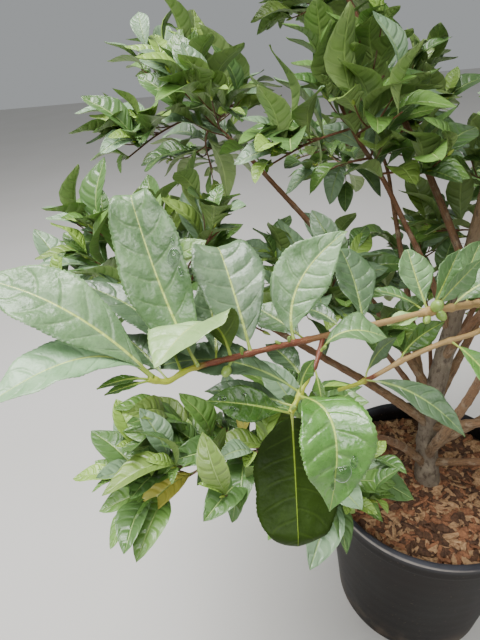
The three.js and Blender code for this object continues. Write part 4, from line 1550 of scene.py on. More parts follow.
    def leaves_on(self, points: np.ndarray, mass: Mass, dice: Dice, order: int) -> list[CrownLeaf]:
        """Returns the leaves set round a twig, leaning out with their faces turned up.

        Args:
            points: The twig's points.
            mass: Its mass.
            dice: Its numbers.
            order: Order of the twig.

        Returns:
            The place and turn of each leaf.
        """
        line = Line(points)
        found = []
        turn = dice.between(0, ANY_TURN)
        s = line.length
        while s > (0.12 if order == 2 else 0.25) * line.length:
            root, axis = line.at(s / line.length), line.heading(s / line.length)
            turn += SPIRAL
            outward = unit(root - np.array(mass.middle))
            spread = np.array([0.7 * math.cos(turn), 0.7 * math.sin(turn), 0.4])
            along = unit(spread + axis * 0.5 + outward * 0.35)
            up = np.array([dice.between(-0.5, 0.5), dice.between(-0.5, 0.5), 1.0])
            up = unit(up - along * float(up @ along))
            end = 1 - s / line.length
            size = dice.between(0.72, 1.12) * (0.66 + 0.34 * min(end * 4 + 0.25, 1))
            found.append(CrownLeaf(root, along, up, size, end, s))
            s -= self.leaf_spacing * dice.between(0.8, 1.2)
        return found

    def fits(self, leaf: CrownLeaf, mass: Mass) -> bool:
        """Returns whether a leaf keeps to its mass's space and clear of the limbs."""
        across = np.cross(leaf.up, leaf.along)
        length = self.leaf_length * leaf.size
        points = np.array([
            leaf.root + leaf.along * s * length + across * w * self.leaf_half * length + leaf.up * h * length
            for s, w, h in LEAF_SAMPLES
        ])
        if not (self.inside_cell(points, mass.name) & self.inside_reach(points, mass)).all():
            return False
        clear = self.limb_distance(points[1:]).min() > self.clearance
        return bool(clear and not VIEWER.in_niche(points).any())

    def tint_of(self, leaf: CrownLeaf, dice: Dice) -> Tint:
        """Returns the green that a leaf is dealt, fresher towards the twig's end and higher up."""
        lot = dice.roll()
        height = np.interp(leaf.root[2], (self.shade_height, self.sun_height), self.fresh_shares)
        if leaf.tip < 0.1 and lot < height:
            return Tint.FRESH
        for tint, share in TINT_SHARES.items():
            lot -= share
            if lot < 0:
                return tint
        return Tint.TURNING

    def leaf_shape(self, arch: float, fold: float, twist: float, wave: float) -> bpy.types.Mesh:
        """Returns one stock leaf, one metre long, along x with its upper face up z.

        Args:
            arch: How far the tip drops.
            fold: How far the halves rise from the midrib.
            twist: Turn of the tip about the midrib in radians.
            wave: Height of the wave along the edge.

        Returns:
            The leaf, with each face's part kept on it.
        """
        stations = (0.0, 0.07, 0.17, 0.3, 0.44, 0.58, 0.71, 0.83, 0.93, 1.0)
        above, under = (-1, -0.034, 0.034, 1), (-0.05, 0.05)
        corners = []

        def spot(s: float, w: float, drop: float) -> tuple[float, float, float]:
            """Returns a point of the leaf."""
            blade = max((s - 0.05) / 0.95, 0)
            width = self.leaf_half * math.sin(math.pi * blade**1.18) ** 0.86 if 0 < blade < 1 else 0
            y = w * max(width, 0.008 if s < 0.99 else 0.003)
            rise = 0.1 * math.sin(math.pi * min(s * 1.1, 1))
            swing = wave * abs(w) ** 2 * math.sin(11 * s + (0.8 if w > 0 else 2.1))
            z = rise - arch * s**2.2 + fold * abs(y) + swing
            if abs(w) < 0.1:
                z -= 0.012 * math.sin(math.pi * s)
            turn = twist * s
            side = y * math.cos(turn) - z * 0.2 * math.sin(turn)
            return s * (1 - 0.25 * arch * s), side, z + y * math.sin(turn) - drop

        for s in stations:
            corners += [spot(s, w, 0) for w in above]
        below = len(corners)
        for s in stations:
            corners += [spot(s, w, 0.012 if s < 0.99 else 0.005) for w in under]
        places = [(s, w) for s in stations for w in above] + [(s, w) for s in stations for w in under]
        faces, parts = [], []
        for i in range(len(stations) - 1):
            for j in range(3):
                a = i * 4 + j
                faces.append((a, a + 4, a + 5, a + 1))
                parts.append(2 if j == 1 or i == 0 else 0)
        upper_faces = len(faces)
        for i in range(len(stations) - 1):
            lower = [i * 4, below + i * 2, below + i * 2 + 1, i * 4 + 3]
            upper = [(i + 1) * 4, below + (i + 1) * 2, below + (i + 1) * 2 + 1, (i + 1) * 4 + 3]
            for j in range(3):
                faces.append((lower[j], lower[j + 1], upper[j + 1], upper[j]))
                parts.append(2 if j == 1 else 1)
        last = len(stations) - 1
        end = below + last * 2
        faces.append((0, 1, 2, 3, below + 1, below))
        faces.append((last * 4 + 3, last * 4 + 2, last * 4 + 1, last * 4, end, end + 1))
        parts += [1, 1]
        data = bpy.data.meshes.new("stock_leaf")
        data.from_pydata(corners, [], faces)
        data.polygons.foreach_set("use_smooth", [True] * len(faces))
        mark(data, "part", "INT", parts, "FACE")
        for label, values in zip(("along", "side"), zip(*places)):
            mark(data, label, "FLOAT", values)
        sides: dict[tuple, set] = {}
        for number, face in enumerate(data.polygons):
            for key in face.edge_keys:
                sides.setdefault(key, set()).add(number < upper_faces)
        crisp = [len(sides[tuple(sorted(edge.vertices))]) > 1 for edge in data.edges]
        mark(data, "sharp_edge", "BOOLEAN", crisp, "EDGE")
        return data

    def bud_shape(self) -> bpy.types.Mesh:
        """Returns one pointed bud, one metre long, along x."""
        rings = ((0, 0.09), (0.2, 0.16), (0.45, 0.17), (0.75, 0.1), (1, 0.01))
        corners = [(s, radius * y, radius * z) for s, radius in rings for y, z in rounds(6)]
        faces = tube_faces(len(rings), 6)
        data = bpy.data.meshes.new("stock_bud")
        data.from_pydata(corners, [], faces)
        data.polygons.foreach_set("use_smooth", [True] * len(faces))
        mark(data, "part", "INT", [0] * len(faces), "FACE")
        return data

    @staticmethod
    def points_mesh(leaves: list[CrownLeaf]) -> bpy.types.Mesh:
        """Returns a mesh of loose points that carry each leaf's turn, size, kind and tint."""
        data = bpy.data.meshes.new("spots")
        data.from_pydata([(leaf.root * MM).tolist() for leaf in leaves], [], [])
        turns = []
        for leaf in leaves:
            basis = Matrix((leaf.along, np.cross(leaf.up, leaf.along), leaf.up)).transposed()
            turns.extend(basis.to_quaternion())
        mark(data, "turn", "QUATERNION", np.array(turns, np.float32))
        mark(data, "size", "FLOAT", [leaf.length * MM for leaf in leaves])
        mark(data, "kind", "INT", [leaf.kind for leaf in leaves])
        mark(data, "tint", "INT", [int(leaf.tint) for leaf in leaves])
        return data

    def grow_mass(self, mass: Mass, lines: Lines, shoots: list[CrownLeaf]) -> list[CrownLeaf]:
        """Grows one mass.

        Args:
            mass: The mass.
            lines: Lines that its twigs are added to.
            shoots: Buds that its leafy twig ends are added to.

        Returns:
            Its leaves.
        """
        dice = Dice(mass.seed * self.seed_factor)
        twigs = self.twigs_of(mass, dice)
        for parent in range(self.side_twigs + 1):
            twigs += self.sprigs_on(parent, twigs[parent], mass, dice)
        tracks = [self.trimmed(twig, mass) for twig in twigs]
        candidates = []
        for number, (twig, points) in enumerate(zip(twigs, tracks)):
            if points is not None:
                for leaf in self.leaves_on(points, mass, dice, twig.order):
                    leaf.lot, leaf.twig = dice.roll(), number
                    if self.fits(leaf, mass):
                        candidates.append(leaf)
        candidates.sort(key=lambda leaf: leaf.lot)
        kept, centres = [], np.zeros((0, 3))
        for leaf in candidates:
            leaf.length = self.leaf_length * leaf.size
            centre = leaf.root + leaf.along * 0.5 * leaf.length
            apart = np.linalg.norm(centres - centre, axis=1).min(initial=math.inf)
            if len(kept) < self.leaves_each and apart > self.leaf_apart:
                leaf.kind = int(dice.between(0, self.last_kind))
                leaf.tint = self.tint_of(leaf, dice)
                kept.append(leaf)
                centres = np.vstack([centres, centre])
        reached = dict.fromkeys(range(len(twigs)), 0.0)
        for leaf in kept:
            reached[leaf.twig] = max(reached[leaf.twig], leaf.spot)
        for number in sorted(reached, key=lambda k: -twigs[k].order):
            twig, points = twigs[number], tracks[number]
            if points is None or reached[number] < 1:
                continue
            if twig.parent is not None:
                reached[twig.parent] = max(reached[twig.parent], twig.spot)
            track, cut = self.cut_back(points, reached[number] + self.twig_beyond)
            radii = np.linspace(twig.radii[0], twig.radii[1], len(track))
            lines.lay(track, thick=radii * MM, number=float(len(lines.corners) % 97))
            if cut < self.shoot_limit:
                kept.extend(self.shoot_at(track, mass, shoots, dice))
        return kept

    @staticmethod
    def cut_back(points: np.ndarray, length: float) -> tuple[np.ndarray, float]:
        """Cuts a twig to a length.

        Args:
            points: The twig's points.
            length: Length to keep in millimetres.

        Returns:
            The points kept, and how much was cut off.
        """
        steps = lengths_of(points)
        stop = min(length, float(steps[-1]))
        spots = np.linspace(0, stop, max(int(stop / 5), 4))
        return points_at(points, steps, spots), float(steps[-1]) - stop

    def shoot_at(self, track: np.ndarray, mass: Mass, shoots: list[CrownLeaf], dice: Dice) -> list[CrownLeaf]:
        """Sets a bud and a pair of young leaves at a twig's end.

        Args:
            track: The twig's points.
            mass: Its mass.
            shoots: Buds to add to.
            dice: The mass's numbers.

        Returns:
            The young leaves that fit.
        """
        heading = unit(track[-1] - track[-2])
        side = unit(np.cross(heading, [0.2, 0.1, 1.0]))
        over = np.cross(side, heading)
        foot = track[-1] - 0.5 * heading
        shoots.append(CrownLeaf(foot, heading, over, length=dice.between(*self.bud_lengths)))
        young = []
        for sign in (-1, 1):
            way = unit(heading + sign * dice.between(0.4, 0.8) * side + dice.between(-0.1, 0.5) * over)
            up = over - 0.6 * sign * side
            up = unit(up - way * float(up @ way))
            leaf = CrownLeaf(track[-1] - heading, way, up, kind=int(dice.between(0, self.last_kind)))
            leaf.length = dice.between(*self.young_lengths)
            leaf.tint = Tint.FRESH if dice.roll() < 0.6 else Tint.LEAF
            if self.fits(leaf, mass):
                young.append(leaf)
        return young

    def build(self, limb_tree: Recipe, leaf_tree: Recipe) -> None:
        """Grows every mass and stands it in for its node.

        Args:
            limb_tree: Tree that makes limbs along lines.
            leaf_tree: Tree that sets leaves on points.
        """
        leaves_stock, bud_stock = Shelf("leaf_stock"), Shelf("bud_stock")
        for bend in LEAF_BENDS:
            leaves_stock.put(self.leaf_shape(*bend))
        bud_stock.put(self.bud_shape())
        under, rib = CROWN_UNDER.material(), CROWN_RIB.material()
        values = {"Shapes": leaves_stock.collection, "Underside": under, "Rib": rib}
        for tint, finish in CROWN_TOPS.items():
            values[f"Top {tint.name}"] = finish.material()
        twigs, buds = Lines(), []
        for mass in MASSES:
            leaves = self.grow_mass(mass, twigs, buds)
            data = leaf_tree.grow(f"crown_{mass.name}", self.points_mesh(leaves), values)
            settle(data, [f"leaves_{mass.name}"])
            LOG.info("crown_%s: %d leaves", mass.name, len(leaves))
        names = [f"leaves_{mass.name}" for mass in MASSES]
        wood = {"Sides": 7, "Step": 0.006, "Ridge": 0.2, "Finish": BARK.material()}
        settle(limb_tree.grow("crown_twigs", twigs.mesh(), wood), names)
        values["Shapes"] = bud_stock.collection
        values["Top FRESH"] = SHOOT.material()
        settle(leaf_tree.grow("crown_buds", self.points_mesh(buds), values), names)
        leaves_stock.clear()
        bud_stock.clear()


# Near branch.


@dataclass(frozen=True)
class NearLeaf:
    """A leaf of the near branch: root, then middle, tip and half width as right, up and near."""

    root: tuple
    middle: tuple
    tip: tuple
    half: tuple
    tint: NearTint = NearTint.BLUE_GREEN
    name: str = ""
    curl: tuple = (0, 0)
    wave: float = 1.0
    turned: bool = False
    point: float = 0.42
    broad: float = 1.25
    full: float = 0.9
    teeth: float = 1.0
    shaded: bool = False
    drops: tuple = ()


@dataclass
class LeafBlade:
    """Builds one near leaf as a closed blade with relief and a toothed edge."""

    leaf: NearLeaf
    seed: int
    petiole: float = 5.0
    thickness: float = 0.45
    tooth_depth: float = 0.85
    ripple: float = 0.045
    narrowest: float = 0.42
    vein_width: float = 0.42
    row_step: float = 0.78
    row_limits: tuple[int, int] = (24, 120)
    column_counts: tuple[int, int] = (8, 13)
    broad_size: float = 9
    column_power: float = 1.35
    tangent_reach: float = 1.2
    curl_steps: int = 24
    petiole_reach: float = 2.6
    petiole_rows: int = 14
    petiole_sides: int = 12

    def midrib(self) -> tuple[np.ndarray, np.ndarray]:
        """Returns the midrib's fine points and the direction across the blade."""
        a = np.array(self.leaf.root, float)
        b = VIEWER.seen(self.leaf.root, self.leaf.middle)
        c = VIEWER.seen(self.leaf.root, self.leaf.tip)
        across = unit(VIEWER.seen((0, 0, 0), self.leaf.half))
        if not self.leaf.turned and float(np.cross(across, c - a) @ np.array(VIEWER.near)) < 0:
            across = -across
        s = np.linspace(0, 1, 161)[:, None]
        line = a * (1 - s) * (1 - 2 * s) + b * 4 * s * (1 - s) + c * s * (2 * s - 1)
        reach, degrees = self.leaf.curl
        if reach:
            tangent = unit(line[-1] - line[-2])
            upper = unit(np.cross(across, tangent))
            axis = Vector(unit(np.cross(upper, tangent)))
            points = [line[-1]]
            turn = Matrix.Rotation(math.radians(degrees) / self.curl_steps, 3, axis)
            way = Vector(tangent)
            for _ in range(self.curl_steps):
                way = turn @ way
                points.append(points[-1] + np.array(way) * reach / self.curl_steps)
            line = np.vstack([line, points[1:]])
        return line, across

    def relief(self, u: np.ndarray, v: np.ndarray, half: np.ndarray, upper: bool) -> np.ndarray:
        """Returns how far the surface lies above the midrib's plane.

        Args:
            u: Share of the blade's length at each corner.
            v: Share of the half width, from -1 to 1.
            half: Half width there in millimetres.
            upper: Whether it is the upper face.

        Returns:
            Heights in millimetres.
        """
        dice = Dice(self.seed * 31 + 7)
        left, right, small = (dice.between(0, ANY_TURN) for _ in range(3))
        off = np.abs(v)
        fold = 0.12 * half * (np.sqrt(off**2 + 0.02) - 0.14) + 0.05 * half * off**2
        side = np.where(v > 0, left, right)
        edge = np.clip(off, 0, 1) ** 2.2 * np.clip(half / 14, 0, 1)
        swing = 0.95 * np.sin(2 * np.pi * 2.1 * u + side)
        wave = self.leaf.wave * edge * (swing + 0.5 * np.sin(2 * np.pi * 4.3 * u + small + 1.7 * side))
        lag = VEIN_BEND * off + VEIN_SWEEP * off**VEIN_POWER
        phase = u * VEIN_PAIRS + np.where(v > 0, VEIN_STEP, 0.0) - lag
        gap = np.abs((phase + 0.5) % 1.0 - 0.5) * 2
        puff = np.clip(half / 18, 0, 1) ** 1.4 * 0.6 * np.sin(np.pi * np.clip(u, 0, 1)) ** 0.5
        puff = puff * np.clip((1 - off) * 5, 0, 1)
        quilt = puff * (1 - np.exp(-((gap / self.vein_width) ** 2))) * np.clip(off * 6, 0, 1)
        groove = -0.34 * np.exp(-((off * half / 1.3) ** 2)) * np.clip(half / 8, 0, 1)
        if upper:
            return fold + wave + quilt + groove
        keel = 0.45 * np.exp(-((off * half / 0.75) ** 2)) * (1.15 - np.clip(u, 0, 1))
        body = self.thickness * (1 - 0.75 * off**6)
        return fold + wave + quilt * 0.9 - body - keel

    def half_widths(self, inside: np.ndarray, size: float) -> list[np.ndarray]:
        """Returns the left and the right half width along the blade, with its teeth.

        Args:
            inside: Share of the blade's length at each row.
            size: Half width at the broadest place in millimetres.

        Returns:
            Half widths in millimetres.
        """
        row = np.arange(len(inside))
        outline = np.sin(np.pi * inside**self.leaf.broad) ** self.leaf.full
        outline = outline * (1 - self.leaf.point * np.clip((inside - 0.55) / 0.45, 0, 1) ** 1.5)
        saw = (1 - (row % 3) / 2) * (0.75 + 0.35 * np.sin(row * 0.7 + self.seed))
        bite = self.leaf.teeth * self.tooth_depth * saw * np.clip(inside * 6 - 0.8, 0, 1)
        notch = 1 - bite * np.clip(size / 20, 0.35, 1) / max(size, 1)
        sway = 1.7 * self.seed
        found = []
        for shift in (0.0, 2.2):
            ripple = np.sin(9.5 * inside + sway + shift) + 0.5 * np.sin(21 * inside + 2 * sway + shift)
            found.append(np.maximum(size * outline * notch * (1 + self.ripple * ripple), self.narrowest))
        return found

    @staticmethod
    def axes(tangent: np.ndarray, across: np.ndarray) -> tuple[np.ndarray, np.ndarray]:
        """Returns the directions across and off the blade at each point of the midrib."""
        tangent = tangent / np.linalg.norm(tangent, axis=1)[:, None]
        x = across - (tangent @ across)[:, None] * tangent
        x = x / np.linalg.norm(x, axis=1)[:, None]
        return x, np.cross(x, tangent)

    def add_to(self, shape: Shape, drops: Shape) -> None:
        """Adds the blade and its petiole to one shape, and the water on it to another."""
        line, across = self.midrib()
        lengths = lengths_of(line)
        total = float(lengths[-1])
        size = float(np.linalg.norm(self.leaf.half))
        rows = int(np.clip(total / self.row_step, *self.row_limits)) + 1
        count = self.column_counts[size > self.broad_size]
        ramp = np.linspace(0, 1, count) ** self.column_power
        columns = np.concatenate([-ramp[:0:-1], ramp])
        wide = len(columns)
        start = 0.55 * self.petiole
        spots = start + (total - start) * np.linspace(0, 1, rows)
        centre = points_at(line, lengths, spots)
        ahead = points_at(line, lengths, np.minimum(spots + self.tangent_reach, total))
        behind = points_at(line, lengths, np.maximum(spots - self.tangent_reach, 0))
        x, n = self.axes(ahead - behind, across)
        blade = (spots - self.petiole) / (total - self.petiole)
        left, right = self.half_widths(np.clip(blade, 0, 1), size)
        u = np.repeat(blade[:, None], wide, axis=1)
        v = np.repeat(columns[None], rows, axis=0)
        half = np.where(v > 0, right[:, None], left[:, None])
        flat = centre[:, None, :] + (v * half)[:, :, None] * x[:, None, :]
        top = flat + self.relief(u, v, half, True)[:, :, None] * n[:, None, :]
        low = flat + self.relief(u, v, half, False)[:, :, None] * n[:, None, :]
        corners = np.vstack([top.reshape(-1, 3), low.reshape(-1, 3)])
        upper = grid_faces(rows, wide, False)
        size_top, last = rows * wide, (rows - 1) * wide
        lower = [tuple(size_top + i for i in face)[::-1] for face in upper]
        border = [*range(wide), *range(2 * wide - 1, size_top, wide)]
        border += [*range(size_top - 2, last - 1, -1), *range(last - wide, 0, -wide)]
        rim = [(b, a, size_top + a, size_top + b) for a, b in zip(border, border[1:] + border[:1])]
        faces = upper + lower + rim
        slots = [0] * len(upper) + [1] * len(lower + rim)
        pairs = np.stack([np.clip(u, 0, 1), (v + 1) / 2], axis=2).reshape(-1, 2)
        marks = {"half": np.tile(half.ravel() * MM, 2), "reach": np.full(2 * size_top, total * MM)}
        shape.take(corners, faces, slots, marks, np.vstack([pairs, pairs]))
        self.add_petiole(shape, line, lengths, across)
        for spot in self.leaf.drops:
            row = int(np.argmin(np.abs(blade - spot[0])))
            column = int(np.argmin(np.abs(columns - spot[1])))
            along = unit(top[row + 1, column] - top[row - 1, column])
            beside = unit(top[row, column + 1] - top[row, column - 1])
            self.add_drop(drops, top[row, column], along, unit(np.cross(beside, along)), spot[2])

    @staticmethod
    def add_drop(shape: Shape, middle: np.ndarray, along: np.ndarray, rise: np.ndarray, size: float) -> None:
        """Adds a flat drop of water to a shape.

        Args:
            shape: Shape to add to.
            middle: Where it lies on the leaf.
            along: Direction along the leaf.
            rise: Direction off the leaf.
            size: Its radius in millimetres.
        """
        beside = np.cross(rise, along)
        rows, sides = 9, 28
        corners = []
        for i in range(rows):
            polar = math.pi * (0.02 + 0.96 * i / (rows - 1))
            for k in range(sides):
                angle = 2 * math.pi * k / sides
                swell = 1 + 0.16 * math.sin(2 * angle + size) + 0.07 * math.sin(3 * angle)
                reach = size * math.sin(polar) * swell
                flat = 1.25 * math.cos(angle) * along + 0.85 * math.sin(angle) * beside
                corners.append(middle + reach * flat + rise * (0.3 - 0.38 * size * math.cos(polar)))
        shape.take(corners, tube_faces(rows, sides))

    def add_petiole(self, shape: Shape, line: np.ndarray, lengths: np.ndarray, across: np.ndarray) -> None:
        """Adds the round stalk that runs from the stem into the midrib.

        Args:
            shape: Shape to add to.
            line: The midrib's points.
            lengths: Their distance along the midrib.
            across: Direction across the blade.
        """
        size = float(np.linalg.norm(self.leaf.half))
        stout = float(np.clip(size / 19, 0.42, 0.85))
        reach = self.petiole * self.petiole_reach
        spots = np.linspace(0, reach, self.petiole_rows)
        centre = points_at(line, lengths, spots)
        x, n = self.axes(np.gradient(centre, axis=0), across)
        radius = stout * np.interp(spots, [0, 2, self.petiole, reach], [1.5, 1.15, 1.0, 0.35])
        centre = centre - n * np.interp(spots, [0, self.petiole, reach], [0, 0.35, 0.6])[:, None]
        corners = []
        for i, wide in enumerate(radius):
            corners += [centre[i] + wide * (a * x[i] + b * n[i]) for a, b in rounds(self.petiole_sides)]
        faces = [face[::-1] for face in tube_faces(len(spots), self.petiole_sides)]
        amount = len(corners)
        marks = {"half": np.full(amount, size * MM), "reach": np.full(amount, 0.06)}
        shape.take(corners, faces, [2] * len(faces), marks, np.full((amount, 2), 0.5))


NEAR_LEAVES = (
    NearLeaf(
        (-294, -277, 698), (-36, 31, 12), (-82, 47, 4), (-8, -12, 8), NearTint.PALE, "left_upper", point=0.25,
    ),
    NearLeaf(
        (-294, -278, 698), (-28, 11, 14), (-66, -10, 34), (2, -9, 12), NearTint.COOL, "left_lower", wave=1.3,
    ),
    NearLeaf((-281, -272, 696), (-22, 28, -16), (-62, 46, -22), (5, 7, -8), NearTint.SHADE, "left_back"),
    NearLeaf(
        (-273, -269, 697), (-15, 32, 4), (-30, 77, 8), (16.5, 4, 0), NearTint.BLUE_GREEN, "tall", point=0.0,
        broad=1.08, full=0.62, drops=((0.52, 0.7, 3.4), (0.44, 0.82, 1.7), (0.6, 0.8, 1.2)), curl=(15, 130),
    ),
    NearLeaf(
        (-246, -258.2, 694.2), (-7.1, 25.8, 0.2), (-15.1, 50.8, -5.8), (18, 2, -2), NearTint.GREY, "middle",
        point=0.0, broad=1.15, full=0.68, curl=(20, 120),
    ),
    NearLeaf(
        (-256, -262.7, 693.5), (-12.9, 19.6, 11.4), (-33.9, -1.4, 30.4), (-21, -3, -13), NearTint.FRESH,
        "folded", turned=True,
    ),
    NearLeaf(
        (-222, -248, 691), (2, 30, 0), (25, 57, 4), (15, -4, 3), NearTint.PALE, "upright",
        point=0.5, broad=1.0,
        curl=(4, 60),
    ),
    NearLeaf(
        (-178.8, -227.9, 683), (-1.2, 24.2, -12.3), (-8.2, 46.2, -18.3), (14, -2, -4),
        NearTint.SHADE, "behind",
        point=0.2, curl=(6, 100),
    ),
    NearLeaf((-208, -249, 683), (13, 12, 8), (36, 8, 2), (-2, -7, 10), NearTint.BLUE_GREEN, "right"),
    NearLeaf(
        (-228.7, -276, 666), (-21.3, 6.9, 14), (-41.3, 9.9, 22), (1, 8, -5), NearTint.WET, "wet", point=0.25,
        drops=((0.82, 0.3, 1.6), (0.7, -0.4, 1.3), (0.55, 0.5, 1.0)),
    ),
    NearLeaf(
        (-222, -270, 671), (12, -10, 27), (11, -51, 22), (-18, -2, 0), NearTint.GREEN, "hanging", wave=1.5,
        point=0.5, broad=1.05, drops=((0.7, -0.2, 4.2), (0.62, -0.5, 2.2), (0.8, 0.1, 1.6)),
    ),
    NearLeaf(
        (-227.5, -274.9, 667.3), (2.5, -31.5, -7.6), (3.5, -63.5, -1.6), (23, 2, 0),
        NearTint.WET, "underside",
        turned=True, point=0.0, broad=1.0, full=0.62, teeth=0.6, shaded=True, curl=(16, -120),
    ),
    NearLeaf((-222, -267.2, 671.6), (-38, 17, 2.7), (-78, 13, 10.7), (0, 8, -8), NearTint.SHADE),
    NearLeaf((-226.6, -273.3, 668.1), (-24.7, 5.7, -7.6), (-46.7, 5.7, -13.6), (0, 5, -9), NearTint.SHADE),
    NearLeaf((-218.5, -262.5, 674.9), (-9.6, 12.4, -12.5), (-19.6, 18.4, -24.5), (8, 3, -3), NearTint.SHADE),
    NearLeaf((-222, -269, 671), (1, 10, 4), (7, 19, 2), (4, -1, -2), NearTint.WET),
    NearLeaf((-213, -256, 679), (2, -8, 4), (4, -20, 4), (3, 0, 4), NearTint.WET),
    NearLeaf((-215, -244, 688), (-12, 10, -12), (-28, 20, -26), (5, 8, -6)),
    NearLeaf((-193, -234, 686), (-8, 9, -10), (-21, 13, -14), (2, 5, -4), NearTint.SHADE),
    NearLeaf((-288, -275.5, 694.8), (-15, 13, -14), (-29, 21, -26), (5, 5, -6), NearTint.SHADE),
    NearLeaf((-264, -265, 694), (-2, 21, -14), (-9, 46, -22), (-11, 2, 0), NearTint.GREY),
    NearLeaf((-294, -278, 697), (-11, 1, 6), (-24, -3, 10), (0, 2, -3), NearTint.WET),
    NearLeaf((-294, -278, 697), (-10, -2, 6), (-21, -6, 8), (0, 2, -3), NearTint.WET),
    NearLeaf((-180, -241, 654), (29, -8, 8), (57, -32, 6), (-4, -7, 5), NearTint.SHADE, "far_right"),
    NearLeaf((-179, -240, 654), (8, 14, -4), (22, 24, -10), (5, -2, -4), NearTint.SHADE),
    NearLeaf((-155, -229, 656), (12, 12, -8), (34, 24, -16), (-6, 5, 3), NearTint.WET),
    NearLeaf((-132, -207, 676), (-6, 17, 0), (-11, 38, -4), (12, 2, -3), NearTint.PALE, curl=(4, 90)),
    NearLeaf((-130, -206, 676), (9, 18, 0), (20, 39, -4), (9, -3, -4), NearTint.PALE),
    NearLeaf((-128, -205, 675), (14, 17, 4), (28, 32, 6), (5, -7, -8), NearTint.PALE),
    NearLeaf((-134, -208, 677), (-15, 10, -6), (-32, 14, -10), (1, 4, -7)),
    NearLeaf((-134, -208, 676), (-13, -3, 6), (-27, -8, 10), (1, 4, -5), NearTint.FRESH),
    NearLeaf((-112, -196, 670), (14, 14, 6), (30, 20, 14), (-3, 8, -6)),
    NearLeaf((-96, -187, 665), (4, 24, -6), (16, 46, -12), (13, -3, -3)),
    NearLeaf((-86, -181, 662), (6, -16, 10), (14, -40, 14), (-13, -3, 4), NearTint.GREEN),
    NearLeaf((-118, -214, 657), (14, -14, 8), (34, -38, 8), (-9, -5, 6), NearTint.GREEN),
)


@dataclass(frozen=True)
class NearStem:
    """A stem of the near branch, with its radii and how green its growth is along it."""

    points: tuple
    radii: tuple
    ages: tuple


NEAR_STEMS = (
    NearStem(((-64, -163, 651), (-83, -179, 661), (-132, -207, 676)), (2.6, 2.2), (0.0, 0.1)),
    NearStem(
        ((-128, -205, 675), (-164, -222, 681), (-194, -236, 686), (-222, -248, 690)), (2.1, 1.7),
        (0.1, 0.3, 0.5),
    ),
    NearStem(
        ((-219, -247, 690), (-252, -261, 694), (-278, -271, 695.5), (-288, -276, 693.6), (-296, -278, 698)),
        (1.6, 1.3), (0.5, 0.6, 0.62, 0.66, 0.98, 1.0),
    ),
    NearStem(
        ((-205, -241, 687), (-211, -254, 680), (-218, -263, 675), (-228, -276, 666)), (1.4, 1.1),
        (0.5, 0.62, 0.95, 1.0),
    ),
    NearStem(
        ((-64, -164, 650), (-94, -204, 656), (-125, -216, 657), (-155, -229, 656)), (1.9, 1.6), (0.0, 0.1),
    ),
    NearStem(((-153, -228, 656), (-180, -241, 653), (-197, -249, 655)), (1.6, 1.1), (0.1, 0.2, 0.9, 1.0)),
)


@dataclass(frozen=True)
class RoundBud:
    """A round flower bud on a short stalk."""

    middle: tuple
    radius: float
    foot: tuple
    stretch: float = 1.25


NEAR_BUDS = (
    RoundBud((-129, -211, 682), 3.7, (-130, -207, 677)),
    RoundBud((-124, -208, 673), 3.0, (-126, -205, 675)),
    RoundBud((-134, -211, 673), 2.5, (-131, -207, 675)),
    RoundBud((-259, -268, 690.5), 2.5, (-256, -263, 693)),
    RoundBud((-250.5, -262.5, 698.5), 1.1, (-250.5, -260.5, 694.5), 2.6),
    RoundBud((-225, -251, 695), 1.1, (-225, -249, 691.5), 2.4),
    RoundBud((-231, -251.5, 693.5), 1.0, (-229, -251, 691.5), 2.2),
    RoundBud((-272.5, -271.5, 698.5), 1.0, (-273, -269.5, 696), 2.6),
    RoundBud((-206, -250, 686.5), 1.1, (-207, -247.5, 683.5), 2.2),
    RoundBud((-226.5, -277.5, 671), 1.1, (-227.5, -275, 667.5), 2.2),
)


